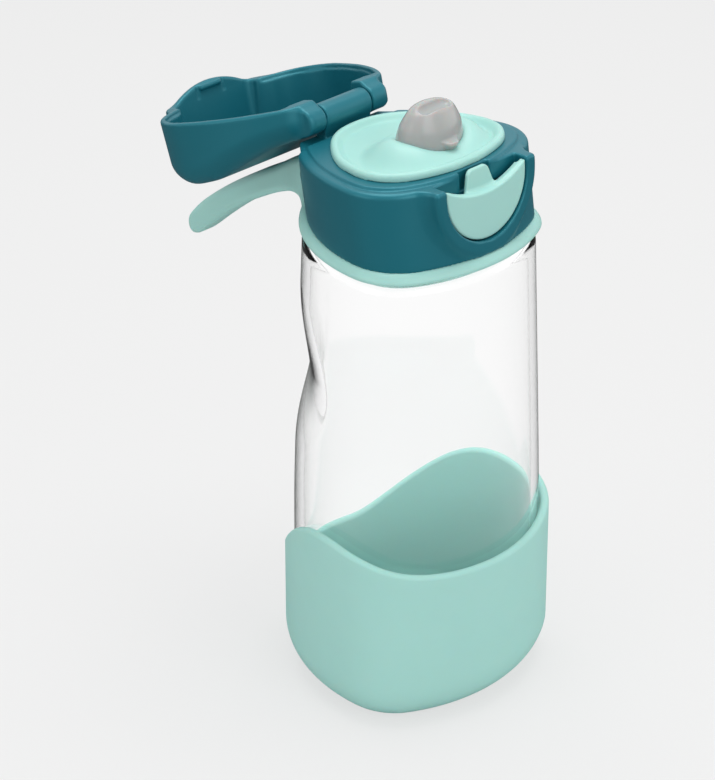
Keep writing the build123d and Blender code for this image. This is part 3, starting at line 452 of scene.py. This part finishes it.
def skin(name, field, low, step, turn=None, **finish):
    """The zero level of a field as an even skin of quads."""
    grid = openvdb.FloatGrid(float(field.max()))
    grid.copyFromArray(np.ascontiguousarray(field, np.float32))
    points, quads = grid.convertToQuads(isovalue=0.0)
    points = points.astype(float) * step + np.array(low, float)
    a, b, c, d = (points[quads[:, i]] for i in range(4))
    volume = np.einsum("ij,ij->i", a, np.cross(b, c) + np.cross(c, d)).sum()
    faces = quads if volume > 0 else quads[:, ::-1]
    if turn is not None:
        points = turn(points)
    return finish_piece(name, points, faces.tolist(), **finish)


# %% [markdown]
# The lid's top leans 2 degrees, so that it is higher at the latch. Heights on the lid are
# measured from that leaning plane, and the latch has a plane of its own, which leans back
# a little from the upright. These functions give a point's place on each plane.

# %% Planes of the lid
TOP_Y, TOP_Z, TOP_LEAN = 3.9, 180.7, radians(2.0)
LATCH_Y, LATCH_Z, LATCH_LEAN = -29.75, 179.2, radians(4.7)
HINGE_Y, HINGE_Z, OPEN_ANGLE = 30.9, 185.8, radians(194.4)
BARREL_RADIUS, BARREL_HALF = 4.2, 10.0
SPOUT_Y = -6.0
COLLAR_BASE, RING_BASE = 157.0, 153.5


def on_top(y, z):
    """Depth along the lid's top and height above it."""
    return ((y - TOP_Y) * cos(TOP_LEAN) - (z - TOP_Z) * sin(TOP_LEAN),
            (y - TOP_Y) * sin(TOP_LEAN) + (z - TOP_Z) * cos(TOP_LEAN))


def on_latch(y, z):
    """Height up the latch's face, and how far a point stands out of it."""
    dy, dz = y - LATCH_Y, z - LATCH_Z
    return (dy * sin(LATCH_LEAN) + dz * cos(LATCH_LEAN), -dy * cos(LATCH_LEAN) + dz * sin(LATCH_LEAN))


def half_round(x, up, radius):
    """The distance to a half round with straight sides above its centre."""
    return np.hypot(x, np.minimum(up, 0)) - radius

def collar_wall(x, y, z, inset):
    """The collar's outer wall, moved inward: it widens and shifts rearward with height."""
    t = np.clip((z - COLLAR_BASE) / (TOP_Z - COLLAR_BASE), 0, 1.3)
    corner, flat, radius = 38.5 + 0.4 * t - inset, 32.0 + 0.5 * t - inset, 17.5 + 0.5 * t - inset
    return section_distance(x, y - TOP_Y * t, corner, flat, radius)


print("collar height", TOP_Z - COLLAR_BASE, "hinge at", (HINGE_Y, HINGE_Z), "latch at", (LATCH_Y, LATCH_Z))

# %% [markdown]
# The collar is the lid's main moulding: a three-sided shell with a shallow plateau on top for
# the spout tray, a boss at the front with a pocket for the latch button, a barrel at the rear
# for the hinge pin, and inside it a round skirt. The boss is flat and the wall behind it is
# bowed, so it stands out most at its two sides, and a fillet softens that. The shape is built
# in three steps: the closed form, the latch's pocket, and the hinge. The skirt's thread and
# the small bores for pins and valve are hidden in the closed lid, and are left out here.

# %% Lid collar
COLLAR_WALL, COLLAR_DECK, COLLAR_FLOOR_Z = 2.4, 177.0, 168.1
BOSS_RADIUS, BOSS_OUT = 22.3, 0.45
PLATEAU, PLATEAU_HEIGHT = (38.9 - 3.2, 32.5 - 3.2, 14.8), 1.0
SKIRT_IN, SKIRT_OUT, SKIRT_LOW = 21.05, 22.95, 155.3
POCKET_RADIUS, POCKET_DEPTH, POCKET_WALL, SHIELD_DEPTH = 18.05, 5.9, 1.6, 4.8
TAB_NOTCH_HALF, TAB_NOTCH_DEPTH, TAB_NOTCH_LOW = 6.7, 6.6, 176.0
REAR_POCKET_Y, REAR_POCKET_Z, WEB_FRONT, WEB_REAR = 26.1, 170.5, 24.9, 31.8
SPOUT_HOLE_HALF, SPOUT_HOLE_DEPTH = 9.4, 6.2


def collar_form(x, y, z):
    """The collar's shell with its boss and its plateau, hollow below the deck."""
    along, height = on_top(y, z)
    up, out = on_latch(y, z)
    body = common(collar_wall(x, y, z, 0), height, 1.6)
    boss_outline = common(half_round(x, up, BOSS_RADIUS), height - 0.15, 1.4)
    boss = common(boss_outline, slab(out, -9.0, BOSS_OUT), 1.3)
    body = join(body, boss, 3.0)
    body = np.maximum(body, np.maximum(height, COLLAR_BASE - z))
    plateau = common(section_distance(x, along, *PLATEAU), height - PLATEAU_HEIGHT, 0.5)
    body = join(body, plateau, 0.45)
    hollow = np.maximum(collar_wall(x, y, z, COLLAR_WALL), z - COLLAR_DECK)
    return cut(body, hollow, 0.3)


def add_latch_pocket(body, x, y, z):
    """Adds the pocket's own walls and the skirt, then cuts the button's place and the tab's notch."""
    _, height = on_top(y, z)
    up, out = on_latch(y, z)
    pocket_depth = slab(out, -POCKET_DEPTH - POCKET_WALL, -0.5)
    pocket_back = common(half_round(x, up, POCKET_RADIUS + POCKET_WALL), pocket_depth, 0.5)
    pocket_back = np.maximum(pocket_back, height + 0.6)
    skirt = np.maximum(slab(np.hypot(x, y), SKIRT_IN, SKIRT_OUT), slab(z, SKIRT_LOW, 177.5))
    body = join(join(body, pocket_back), skirt)
    pocket = half_round(x, up, POCKET_RADIUS)
    body = cut(body, np.maximum(pocket, slab(out, -SHIELD_DEPTH, 8.0)), 0.5)
    # Below the shelf the pocket is deeper, which leaves room for the latch's spring
    body = cut(body, np.maximum(np.maximum(pocket, slab(out, -POCKET_DEPTH, 8.0)), up + 3.0), 0.3)
    tab_notch = np.maximum(np.abs(x) - TAB_NOTCH_HALF, slab(y, -40.0, LATCH_Y + TAB_NOTCH_DEPTH))
    return cut(body, np.maximum(tab_notch, TAB_NOTCH_LOW - z), 0.5)


def add_hinge(body, x, y, z):
    """Cuts the rear pocket that the open cover hangs in, and stands the hinge barrel in it."""
    body = cut(body, np.maximum(REAR_POCKET_Y - y, REAR_POCKET_Z - z), 0.6)
    inner_wall, across = collar_wall(x, y, z, 1.2), np.abs(x) - BARREL_HALF
    ledge = common(np.maximum(inner_wall, slab(y, 24.0, WEB_REAR)), slab(z, COLLAR_FLOOR_Z, 179.7), 0.6)
    pocket_floor = np.maximum(inner_wall, np.maximum(WEB_FRONT - y, slab(z, COLLAR_FLOOR_Z, REAR_POCKET_Z)))
    body = join(join(body, ledge, 0.4), pocket_floor, 0.3)
    web = np.maximum(across, np.maximum(slab(y, WEB_FRONT, WEB_REAR), slab(z, COLLAR_FLOOR_Z, 178.5)))
    upper_web = np.maximum(across, np.maximum(slab(y, 27.6, WEB_REAR), slab(z, REAR_POCKET_Z, HINGE_Z)))
    barrel = common(np.hypot(y - HINGE_Y, z - HINGE_Z) - BARREL_RADIUS, across, 0.6)
    return join(join(body, web, 0.4), join(barrel, upper_web, 1.0), 0.4)


def lid_collar_field(x, y, z):
    """The whole collar, with the hole under the spout."""
    body = add_hinge(add_latch_pocket(collar_form(x, y, z), x, y, z), x, y, z)
    oval = np.hypot(x / SPOUT_HOLE_HALF, (y - SPOUT_Y) / SPOUT_HOLE_DEPTH)
    spout_hole = oval * SPOUT_HOLE_DEPTH - SPOUT_HOLE_DEPTH
    return np.maximum(body, -np.maximum(spout_hole, 176.0 - z))


COLLAR_STEP = 0.42
collar_low, collar_high = (-37.5, -34.0, 154.5), (37.5, 44.0, 191.5)
collar_grid = block_of_points(collar_low, collar_high, COLLAR_STEP)
collar = skin("lid_collar_shell", lid_collar_field(*collar_grid), collar_low, COLLAR_STEP,
              material=teal_plastic, body="lid", slot="teal_plastic", replaced=["lid_collar"])

# %% [markdown]
# The ring closes the collar's underside and carries the arm that a hand or a clip holds. Seen
# from the side the arm is one sweeping stroke of even thickness with a blunt, round tip, so
# its side view is drawn as a smooth closed line, and its edges are rounded across its width.

# %% Smooth closed outlines
def smooth_loop(corners, per_span=10):
    """Points on a smooth closed curve through the corners (Catmull-Rom)."""
    p = np.asarray(corners, float)
    before, after, beyond = np.roll(p, 1, 0), np.roll(p, -1, 0), np.roll(p, -2, 0)
    t = np.linspace(0, 1, per_span, endpoint=False)[:, None, None]
    curve = 0.5 * (2 * p + (after - before) * t + (2 * before - 5 * p + 4 * after - beyond) * t**2
                   + (3 * p - before - 3 * after + beyond) * t**3)
    return curve.transpose(1, 0, 2).reshape(-1, 2)


def outline_distance(u, v, loop):
    """The distance from points to a closed outline, negative inside it."""
    nearest = np.full(u.shape, 1e9)
    inside = np.zeros(u.shape, bool)
    for (u0, v0), (u1, v1) in zip(loop, np.roll(loop, -1, 0)):
        du, dv = u1 - u0, v1 - v0
        share = np.clip(((u - u0) * du + (v - v0) * dv) / (du * du + dv * dv + 1e-12), 0, 1)
        nearest = np.minimum(nearest, np.hypot(u - u0 - share * du, v - v0 - share * dv))
        if dv != 0:
            inside ^= ((v0 > v) != (v1 > v)) & (u < u0 + (v - v0) * du / dv)
    return np.where(inside, -nearest, nearest)


# %% Ring and carry arm
ARM_LINE = [(33, 170.9), (40.3, 169.3), (47.1, 166.2), (56.2, 160.5), (65.5, 155.2), (78.3, 147.0),
            (89.5, 138.5), (95.6, 132.4), (97.2, 129.4), (96.6, 126.2), (94.4, 124.7), (91.0, 126.4),
            (82.5, 133.6), (72.8, 141.2), (63.4, 146.9), (54.1, 151.6), (46, 153.9), (33, 154.6)]
ARM_HALF, ARM_FLARE, FLARE_END, FLARE_RUN = 5.0, 3.2, 52.0, 14.0
ARM_EDGE, ARM_ROOT, RING_BORE = 2.6, 4.0, 23.3


def handle_ring_field(x, y, z):
    """The ring under the collar, and the arm at its rear corner."""
    t = np.clip((z - RING_BASE) / (COLLAR_BASE - RING_BASE), 0, 1)
    band = section_distance(x, y, 41.0 - 2.1 * t**2, 34.6 - 2.2 * t**2, 19.0 - 1.2 * t**2)
    band = common(band, slab(z, RING_BASE, COLLAR_BASE + 0.35), 0.9)
    side_view = outline_distance(y[0], z[0], smooth_loop(ARM_LINE))[None]
    flare = np.clip((FLARE_END - y) / FLARE_RUN, 0, 1)
    half_width = ARM_HALF + ARM_FLARE * flare**2 * (3 - 2 * flare)
    arm = common(side_view, np.abs(x) - half_width, ARM_EDGE)
    collar_room = np.maximum(collar_wall(x, y, z, -0.06), COLLAR_BASE - z)
    body = cut(join(band, arm, ARM_ROOT), collar_room)
    return np.maximum(body, RING_BORE - np.hypot(x, y))


RING_STEP = 0.45
ring_low, ring_high = (-39.5, -36.0, 122.5), (39.5, 99.0, 172.5)
ring_grid = block_of_points(ring_low, ring_high, RING_STEP)
handle = skin("carry_arm_ring", handle_ring_field(*ring_grid), ring_low, RING_STEP, material=mint_plastic,
              body="lid", slot="mint_plastic", replaced=["handle_ring"])

# %% [markdown]
# The spout tray is a rounded triangle with a raised, rolled rim. Its floor is a dish that
# climbs into a mound around the spout, lower in front and higher at both sides, so that lips
# can reach the spout. Its height is a function of place, and its edge is an outline.

# %% Spout tray
TRAY_LINE = [(0, -22.7), (10, -21.7), (20, -18.5), (26.0, -13.6), (28.4, -8.8), (28.9, -3), (27.3, 4.2),
             (24.9, 9.4), (20.6, 15.2), (14.5, 21.2), (8, 24.6), (0, 25.7), (-8, 24.6), (-14.5, 21.2),
             (-20.6, 15.2), (-24.9, 9.4), (-27.3, 4.2), (-28.9, -3), (-28.4, -8.8), (-26.0, -13.6),
             (-20, -18.5), (-10, -21.7)]
TRAY_ROLL, TRAY_RIM, TRAY_FLOOR, TRAY_FALL = 1.5, 2.5, 0.6, 3.0
MOUND_FOOT, MOUND_CREST, MOUND_SIDES = 10.0, 3.4, 3.2


def spout_tray_field(x, y, z):
    """The tray's rolled rim, its dish and the mound round the spout."""
    _, height = on_top(y, z)
    edge = outline_distance(x[:, :, 0], y[:, :, 0], smooth_loop(TRAY_LINE))[:, :, None]
    inward = np.clip(-edge, 0, 100)
    roll = np.sqrt(np.maximum(TRAY_ROLL**2 - (inward - TRAY_ROLL)**2, 0)) + (TRAY_RIM - TRAY_ROLL)
    fall = np.clip((inward - TRAY_ROLL) / TRAY_FALL, 0, 1)
    floor = TRAY_RIM - (TRAY_RIM - TRAY_FLOOR) * fall * fall * (3 - 2 * fall)
    dish = np.where(inward > TRAY_ROLL, floor, roll)
    oval = (np.hypot(x / 11.9, (y - SPOUT_Y) / 8.7) - 1) * 9.6
    near = np.clip(1 - (oval - 0.4) / MOUND_FOOT, 0, 1)
    crest = MOUND_CREST + MOUND_SIDES * (x / 11.5)**2 * np.clip(1.6 - np.abs(x) / 19.0, 0, 1)
    mound = TRAY_FLOOR + (crest - TRAY_FLOOR) * near**2 * (3 - 2 * near)
    top = PLATEAU_HEIGHT + np.maximum(dish, mound)
    body = np.maximum(common(edge, height - top), PLATEAU_HEIGHT - height)
    return np.maximum(body, -np.maximum(oval, 1.5 - height))


TRAY_STEP = 0.35
tray_low, tray_high = (-30.5, -23.5, 180.0), (30.5, 27.5, 191.5)
tray_grid = block_of_points(tray_low, tray_high, TRAY_STEP)
tray = skin("spout_tray_dish", spout_tray_field(*tray_grid), tray_low, TRAY_STEP, material=mint_plastic,
            body="lid", slot="mint_plastic", replaced=["spout_tray"])

# %% [markdown]
# The spout is a soft mouthpiece, an oval foot that narrows to a flattened lip. A slot is
# dished into the front of the lip, and a small pointed nub shows where it was gated, at the
# foot's front. It is one soft blend from foot to lip, so it is a field as well.

# %% Spout
SPOUT_FOOT_Z, SPOUT_RISE, SPOUT_LIP_Z = 182.0, 16.9, 198.7
SPOUT_SHARES = [-0.1, 0, 0.35, 0.6, 0.8, 0.93, 1.1]
SPOUT_HALF_WIDTHS = [11.9, 11.9, 12.1, 11.2, 9.4, 7.6, 5.0]
SPOUT_HALF_DEPTHS = [8.5, 8.5, 8.6, 7.6, 5.9, 4.6, 3.2]
SLOT_HALF, SLOT_RADIUS, NUB_RADIUS = 5.0, 1.9, 2.6


def spout_field(x, y, z):
    """The mouthpiece: oval foot, narrowing body, dished slot and front nub."""
    rise = np.clip((z - SPOUT_FOOT_Z) / SPOUT_RISE, 0, 1)
    half_width = smooth_curve(rise, SPOUT_SHARES, SPOUT_HALF_WIDTHS, 0.07)
    half_depth = smooth_curve(rise, SPOUT_SHARES, SPOUT_HALF_DEPTHS, 0.07)
    middle = SPOUT_Y - 0.8 * rise
    # The scaled radius is not a true distance, and 0.9 keeps its slope near one at the wall
    body = (np.hypot(x / half_width, (y - middle) / half_depth) - 1) * half_depth * 0.9
    body = common(body, np.maximum(z - SPOUT_LIP_Z, 182.2 - z), 2.2)
    past_slot = x - np.clip(x, -SLOT_HALF, SLOT_HALF)
    slot = np.sqrt(past_slot**2 + ((y + 8.6) * 0.85)**2 + ((z - 198.6) * 0.9)**2) - SLOT_RADIUS
    body = cut(body, slot, 0.5)
    nub_swell = np.clip((z - 184.0) / 3.6, 0, 1)
    nub_side = np.hypot(x * 0.9, (y + 14.3) * 0.9) - NUB_RADIUS * nub_swell
    return join(body, np.maximum(nub_side, slab(z, 184.0, 188.4)), 1.0)


SPOUT_STEP = 0.3
spout_low, spout_high = (-14.0, -18.0, 181.0), (14.0, 5.0, 200.5)
spout_grid = block_of_points(spout_low, spout_high, SPOUT_STEP)
mouthpiece = skin("spout_mouthpiece", spout_field(*spout_grid), spout_low, SPOUT_STEP,
                  material=spout_silicone, body="lid", slot="spout_silicone", replaced=["spout"])

# %% [markdown]
# The latch button is a shield: a half round below, two horns above, and between them a
# concave rim with a shelf behind it. A tab stands up from the shelf and leans back. The lug
# that turns on the latch pin is hidden behind the shield, and is left out here.

# %% Latch button
BUTTON_RADIUS, SHIELD_BACK, SHIELD_DOME = 17.7, -2.3, 0.35
RIM_CENTRE, RIM_RADIUS = 31.5, 34.4
SHELF_TOP, SHELF_HALF, SHELF_BACK, SHELF_BOTTOM = -2.8, 16.2, -3.2, -6.5
TAB_TOP, TAB_THICK, TAB_LEAN = 4.1, 1.5, 0.10


def button_field(x, y, z):
    """The button's shield, its shelf and its tab."""
    up, out = on_latch(y, z)
    rim = RIM_RADIUS - np.hypot(x, up - RIM_CENTRE)
    dome = SHIELD_DOME - SHIELD_DOME * (np.hypot(x, up) / BUTTON_RADIUS)**2
    outline = common(half_round(x, up, BUTTON_RADIUS), rim, 0.3)
    shield = common(outline, slab(out, SHIELD_BACK, dome), 0.6)
    # The shelf climbs towards the horns and slopes down to the rear
    shelf_top = SHELF_TOP + 0.16 * (out + 2.0) + (x / 15.5)**2 * 3.7
    shelf_block = np.maximum(np.abs(x) - SHELF_HALF, slab(out, SHELF_BACK, -1.0))
    shelf = common(shelf_block, slab(up, SHELF_BOTTOM, shelf_top), 0.4)
    foot = common(np.maximum(np.abs(x) - 5.9, slab(out, -4.4, -1.0)), slab(up, SHELF_BOTTOM, -3.6), 0.4)
    shelf = join(shelf, foot, 0.4)
    tab_half = np.interp(up, [-4, -1.5, 4.2], [6.4, 6.0, 4.2])
    tab_front = -2.6 - TAB_LEAN * (up + 3)
    tab_outline = common(np.abs(x) - tab_half, slab(up, -5.0, TAB_TOP), 1.7)
    tab = common(tab_outline, slab(out, tab_front - TAB_THICK, tab_front), 0.5)
    return join(join(shield, shelf, 0.5), tab, 1.4)


BUTTON_STEP = 0.3
button_low, button_high = (-19.0, -33.5, 160.0), (19.0, -22.0, 188.0)
button_grid = block_of_points(button_low, button_high, BUTTON_STEP)
button = skin("latch_shield", button_field(*button_grid), button_low, BUTTON_STEP, material=mint_plastic,
              body="button", slot="mint_plastic", replaced=["latch_button"])

# %% [markdown]
# The flip cover is a deep shell that follows the collar's outline and swells forward in a nose
# over the latch. It is easiest to draw it closed, standing on the collar, and then to turn its
# points about the hinge to where it hangs open. Its wall is the space between the outer field
# and the same field moved inward, so it is even all round, but for one soft fold across the
# inside above the tongue. The tongue reaches down to the button, with a catch inside it, and at
# the rear two arms, one at each end of the barrel, end in blocks that are round about the pin.

# %% Flip cover
CROWN_Y = [-38, -30, -20, -8, 2, 11.6, 20, 30.9, 38]
CROWN_Z = [196.5, 199.2, 201.8, 203.0, 201.3, 196.6, 192.9, 190.3, 189.6]
COVER_WALL, COVER_GAP, HOLLOW_REAR, ARM_FRONT = 2.3, 0.3, 23.5, 26.6
COVER_INSET, COVER_LEAN, LEAN_HEIGHT = 0.15, 0.9, 25
ARCH_CENTRE, ARCH_RADIUS, TONGUE_HALF, CATCH_HALF = 28.4, 30.0, 17.4, 4.6
NOSE_HALF, NOSE_REACH, NOSE_MIDDLE, NOSE_ROUND = 22.0, 16.2, 18.0, 6.0
FOLD_Y, FOLD_WIDTH, FOLD_HEIGHT = 23.8, 2.0, 1.9
NOTCH_HALF, NOTCH_FRONT, ARM_RADIUS, ARM_OUTER = 10.4, 25.8, 4.4, 17.3
COVER_OUTLINE, PLATEAU_ROOM = (39.2, 32.8, 18.3), (36.9, 30.5, 16.0)


def cover_solid(x, y, z, inset):
    """The cover without its hollow, moved inward."""
    along, height = on_top(y, z)
    lean = COVER_INSET + inset + COVER_LEAN * np.clip(height, 0, LEAN_HEIGHT) / LEAN_HEIGHT
    triangle = section_distance(x, along, 38.9 - lean, 32.5 - lean, 18.0 - lean)
    nose_x = np.abs(x) - (NOSE_HALF - lean - NOSE_ROUND)
    nose_y = np.abs(along + NOSE_MIDDLE) - (NOSE_REACH - lean - NOSE_ROUND)
    nose_outside = np.hypot(np.maximum(nose_x, 0), np.maximum(nose_y, 0))
    nose = nose_outside + np.minimum(np.maximum(nose_x, nose_y), 0) - NOSE_ROUND
    walls = join(triangle, nose, 2.4)
    crown = smooth_curve(y[0, :, 0], CROWN_Y, CROWN_Z, 2.5)[None, :, None]
    slope = np.gradient(crown[0, :, 0], y[0, :, 0])[None, :, None]
    roof = (z - crown + inset) / np.sqrt(1 + slope**2)
    return common(walls, roof, 6.5 - inset)


def cover_shell(x, y, z):
    """The cover's shell down to its rim, with the tongue's arch and the catch."""
    _, height = on_top(y, z)
    up, out = on_latch(y, z)
    fold_ridge = np.exp(-((y + FOLD_Y) / FOLD_WIDTH)**2) * FOLD_HEIGHT
    hollow = common(cover_solid(x, y, z, COVER_WALL) + fold_ridge, y - HOLLOW_REAR, 1.5)
    arch_side = np.maximum(np.abs(x) - TONGUE_HALF, y + 20.0)
    arch = common(np.hypot(x, up - ARCH_CENTRE) - ARCH_RADIUS, arch_side, 0.8)
    rim = join(COVER_GAP - height, arch, 1.2)
    shell = cut(common(cover_solid(x, y, z, 0), y - HINGE_Y, 2.5), hollow)
    shell = common(shell, rim, 0.9)
    catch = common(np.abs(x) - CATCH_HALF, np.maximum(slab(out, -2.75, -1.2), slab(up, -0.7, 0.9)), 0.4)
    shell = join(shell, catch, 0.4)
    # A slit at each side of the catch lets it spring back as the cover snaps shut
    slots = np.maximum(slab(out, -4.4, -1.5), slab(up, -2.5, 3.4))
    return cut(shell, np.maximum(np.abs(np.abs(x) - 5.6) - 0.45, slots), 0.25)


def cover_field(x, y, z):
    """The closed cover, with room for the tray, the plateau and the barrel, and its two hinge arms."""
    along, height = on_top(y, z)
    shell = cover_shell(x, y, z)
    tray_room = np.maximum(np.abs(x) - 15.0, np.maximum(slab(y, 0.0, 26.3), z - 184.6))
    shell = cut(shell, tray_room, 0.4)
    plateau_room = np.maximum(height - 1.7, y - 26.3)
    shell = cut(shell, np.maximum(section_distance(x, along, *PLATEAU_ROOM), plateau_room), 0.3)
    notch = np.maximum(np.abs(x) - NOTCH_HALF, NOTCH_FRONT - y)
    shell = cut(shell, notch, 0.5)
    arm_side = np.hypot(np.maximum(y - HINGE_Y, 0), z - HINGE_Z) - ARM_RADIUS
    arm_width = np.maximum(section_distance(x, along, *COVER_OUTLINE), np.abs(x) - ARM_OUTER)
    arm_end = common(common(arm_side, ARM_FRONT - y, 0.6), np.maximum(NOTCH_HALF - np.abs(x), arm_width), 0.7)
    # The arms' fillets run into the notch, so it is cut once more, with a sharp edge
    return np.maximum(join(shell, arm_end, 2.2), -notch)


def swing_open(points):
    """Turns the closed cover's points about the hinge to the open position."""
    y, z = points[:, 1] - HINGE_Y, points[:, 2] - HINGE_Z
    turned_y = y * cos(-OPEN_ANGLE) - z * sin(-OPEN_ANGLE)
    turned_z = y * sin(-OPEN_ANGLE) + z * cos(-OPEN_ANGLE)
    return np.stack([points[:, 0], HINGE_Y + turned_y, HINGE_Z + turned_z], -1)


COVER_STEP = 0.42
cover_low, cover_high = (-37.5, -37.0, 175.5), (37.5, 37.0, 205.5)
cover_grid = block_of_points(cover_low, cover_high, COVER_STEP)
cover = skin("flip_cover_shell", cover_field(*cover_grid), cover_low, COVER_STEP, turn=swing_open,
             material=teal_plastic, body="cover", slot="teal_plastic", replaced=["flip_cover"])

# %% [markdown]
# The small inner pieces keep their CAD shapes, which are exact: gasket, seal, valve, pins and
# spring. They only need their real materials. The mouldings above have no bores for them, so
# a pin simply runs on through the plastic, where it can't be seen.

# %% Small pieces
SMALL_PIECES = {"neck_gasket": seal_silicone, "tray_seal": seal_silicone, "vent_valve": seal_silicone,
                "hinge_pin": steel, "latch_pin": steel, "latch_spring": steel}
for node_name, material in SMALL_PIECES.items():
    mesh = nodes[node_name].data
    mesh.materials.clear()
    mesh.materials.append(material)
print("small pieces:", len(SMALL_PIECES))

# %% [markdown]
# The bottle stands on a plain pale floor, as in a product studio. Floor and world share one
# idea: what a ray finds depends on where it comes from. The camera sees a pale grey, with a
# soft shadow where the floor's own paint is mixed in. Rays that have come through the glass
# find white, so that clear walls stay bright. A sheen on plastic finds the floor painted dark,
# a painted shade in the reflection that keeps the lower faces deep in colour.

# %% Floor
PALE = "#F0F0F0"
FLOOR_HALF, THROUGH_GLASS = 6.0, 0.5


def floor_panel(name, half):
    """A flat square at the height of the boot's base."""
    mesh = bpy.data.meshes.new(name)
    corners = [(-half, -half, 0), (half, -half, 0), (half, half, 0), (-half, half, 0)]
    mesh.from_pydata(corners, [], [(0, 1, 2, 3)])
    panel = bpy.data.objects.new(name, mesh)
    bpy.context.scene.collection.objects.link(panel)
    return panel


def after_glass(tree, path):
    """One where a ray has come through the glass, and zero elsewhere."""
    passed = add_node(tree, "ShaderNodeMath", {"operation": "GREATER_THAN"},
                      links={0: path.outputs["Transmission Depth"]})
    passed.inputs[1].default_value = THROUGH_GLASS
    return passed.outputs[0]


# Paint, rolled on: quite matt
floor_material = bpy.data.materials.new("painted_floor_pale")
floor_material.use_nodes = True
ground = floor_material.node_tree
ground.nodes.clear()
floor_path = add_node(ground, "ShaderNodeLightPath")
paint = add_node(ground, "ShaderNodeBsdfDiffuse", Color=linear("#E4E4E4"))
# Painted shade: the floor as a sheen sees it is dark grey, so reflections keep the plastic's lower faces deep
sheen_floor_painted_dark = add_node(ground, "ShaderNodeBsdfDiffuse", Color=linear("#5C5C5C"))
glow = add_node(ground, "ShaderNodeEmission", Color=linear(PALE), Strength=1.0)
white = add_node(ground, "ShaderNodeEmission", Color=linear("#FFFFFF"), Strength=1.0)
shown_paint = add_node(ground, "ShaderNodeMixShader", links={1: paint.outputs[0], 2: glow.outputs[0]}, Fac=0.75)
surface = paint
for factor, other in ((floor_path.outputs["Is Camera Ray"], shown_paint),
                      (floor_path.outputs["Is Glossy Ray"], sheen_floor_painted_dark),
                      (after_glass(ground, floor_path), white)):
    surface = add_node(ground, "ShaderNodeMixShader",
                       links={0: factor, 1: surface.outputs[0], 2: other.outputs[0]})
add_node(ground, "ShaderNodeOutputMaterial", links={"Surface": surface.outputs[0]})
floor = floor_panel("studio_floor", FLOOR_HALF)
floor.data.materials.append(floor_material)
print("floor", 2 * FLOOR_HALF, "m across, seen as", PALE)

# %% [markdown]
# The world stands in for the studio's white walls. It gives an even light from all round,
# weaker than the pale grey that it shows to the camera and in a sheen, because a background
# that lit the bottle as strongly as it looks would wash out the colours.

# %% World
AMBIENT = 0.52
world = bpy.data.worlds.new("studio_white")
bpy.context.scene.world = world
world.use_nodes = True
sky = world.node_tree
sky.nodes.clear()
sky_path = add_node(sky, "ShaderNodeLightPath")
ambient = add_node(sky, "ShaderNodeBackground", Color=linear("#FFFFFF"), Strength=AMBIENT)
shown = add_node(sky, "ShaderNodeBackground", Color=linear(PALE), Strength=1.0)
through = add_node(sky, "ShaderNodeBackground", Color=linear("#FFFFFF"), Strength=1.0)
seen_or_mirrored = add_node(sky, "ShaderNodeMath", {"operation": "MAXIMUM"},
                            links={0: sky_path.outputs["Is Camera Ray"], 1: sky_path.outputs["Is Glossy Ray"]})
to_camera = add_node(sky, "ShaderNodeMixShader",
                     links={0: seen_or_mirrored.outputs[0], 1: ambient.outputs[0], 2: shown.outputs[0]})
to_glass = add_node(sky, "ShaderNodeMixShader",
                    links={0: after_glass(sky, sky_path), 1: to_camera.outputs[0], 2: through.outputs[0]})
add_node(sky, "ShaderNodeOutputWorld", links={"Surface": to_glass.outputs[0]})
print("ambient light", AMBIENT)

# %% [markdown]
# Four soft boxes light it. The large one overhead gives the tops their brightness, the one in
# front opens the boot and the latch, and two weak ones at the sides keep the turned walls from
# going dark. A square area lamp is a soft box: its size sets how soft its shadow is.

# %% Lamps
LAMP_TARGET = (0, 0, 0.1)
LAMPS = {"overhead_soft_box": ((0.1, 0.1, 1.2), 0.9, 9.0), "front_soft_box": ((-0.2, -1.25, 0.75), 0.8, 4.8),
         "left_fill": ((-1.2, 0.2, 0.5), 0.8, 2.4), "right_fill": ((1.1, -0.6, 0.5), 0.8, 1.2)}
for lamp_name, (place, size, watts) in LAMPS.items():
    light = bpy.data.lights.new(lamp_name, "AREA")
    light.shape, light.size, light.energy = "SQUARE", size, watts
    lamp = bpy.data.objects.new(lamp_name, light)
    lamp.location = place
    lamp.rotation_euler = (Vector(LAMP_TARGET) - Vector(place)).to_track_quat("-Z", "Y").to_euler()
    bpy.context.scene.collection.objects.link(lamp)
print("lamps:", {lamp_name: watts for lamp_name, (_, _, watts) in LAMPS.items()})

# %% [markdown]
# The camera looks down on the latch's left from 27 degrees, with a long lens, so that upright
# edges stay nearly upright.

# %% Camera
CAMERA_PLACE = Vector((-0.67272, -0.61484, 0.56832))
CAMERA_BACK = Vector((-0.6446, -0.6119, 0.4582)).normalized()
camera_right = Vector((0, 0, 1)).cross(CAMERA_BACK).normalized()
camera_up = CAMERA_BACK.cross(camera_right)
camera = bpy.data.cameras.new("studio_camera")
camera.sensor_fit = "VERTICAL"
camera.sensor_height = 36.0
camera.lens = 149.4
camera.clip_end = 20.0
view_point = bpy.data.objects.new("studio_camera", camera)
orientation = Matrix((camera_right, camera_up, CAMERA_BACK)).transposed().to_4x4()
view_point.matrix_world = Matrix.Translation(CAMERA_PLACE) @ orientation
bpy.context.scene.collection.objects.link(view_point)
bpy.context.scene.camera = view_point
bpy.context.scene.view_settings.view_transform = "Standard"
print("camera", round(CAMERA_PLACE.length, 3), "m from the bottle's foot")
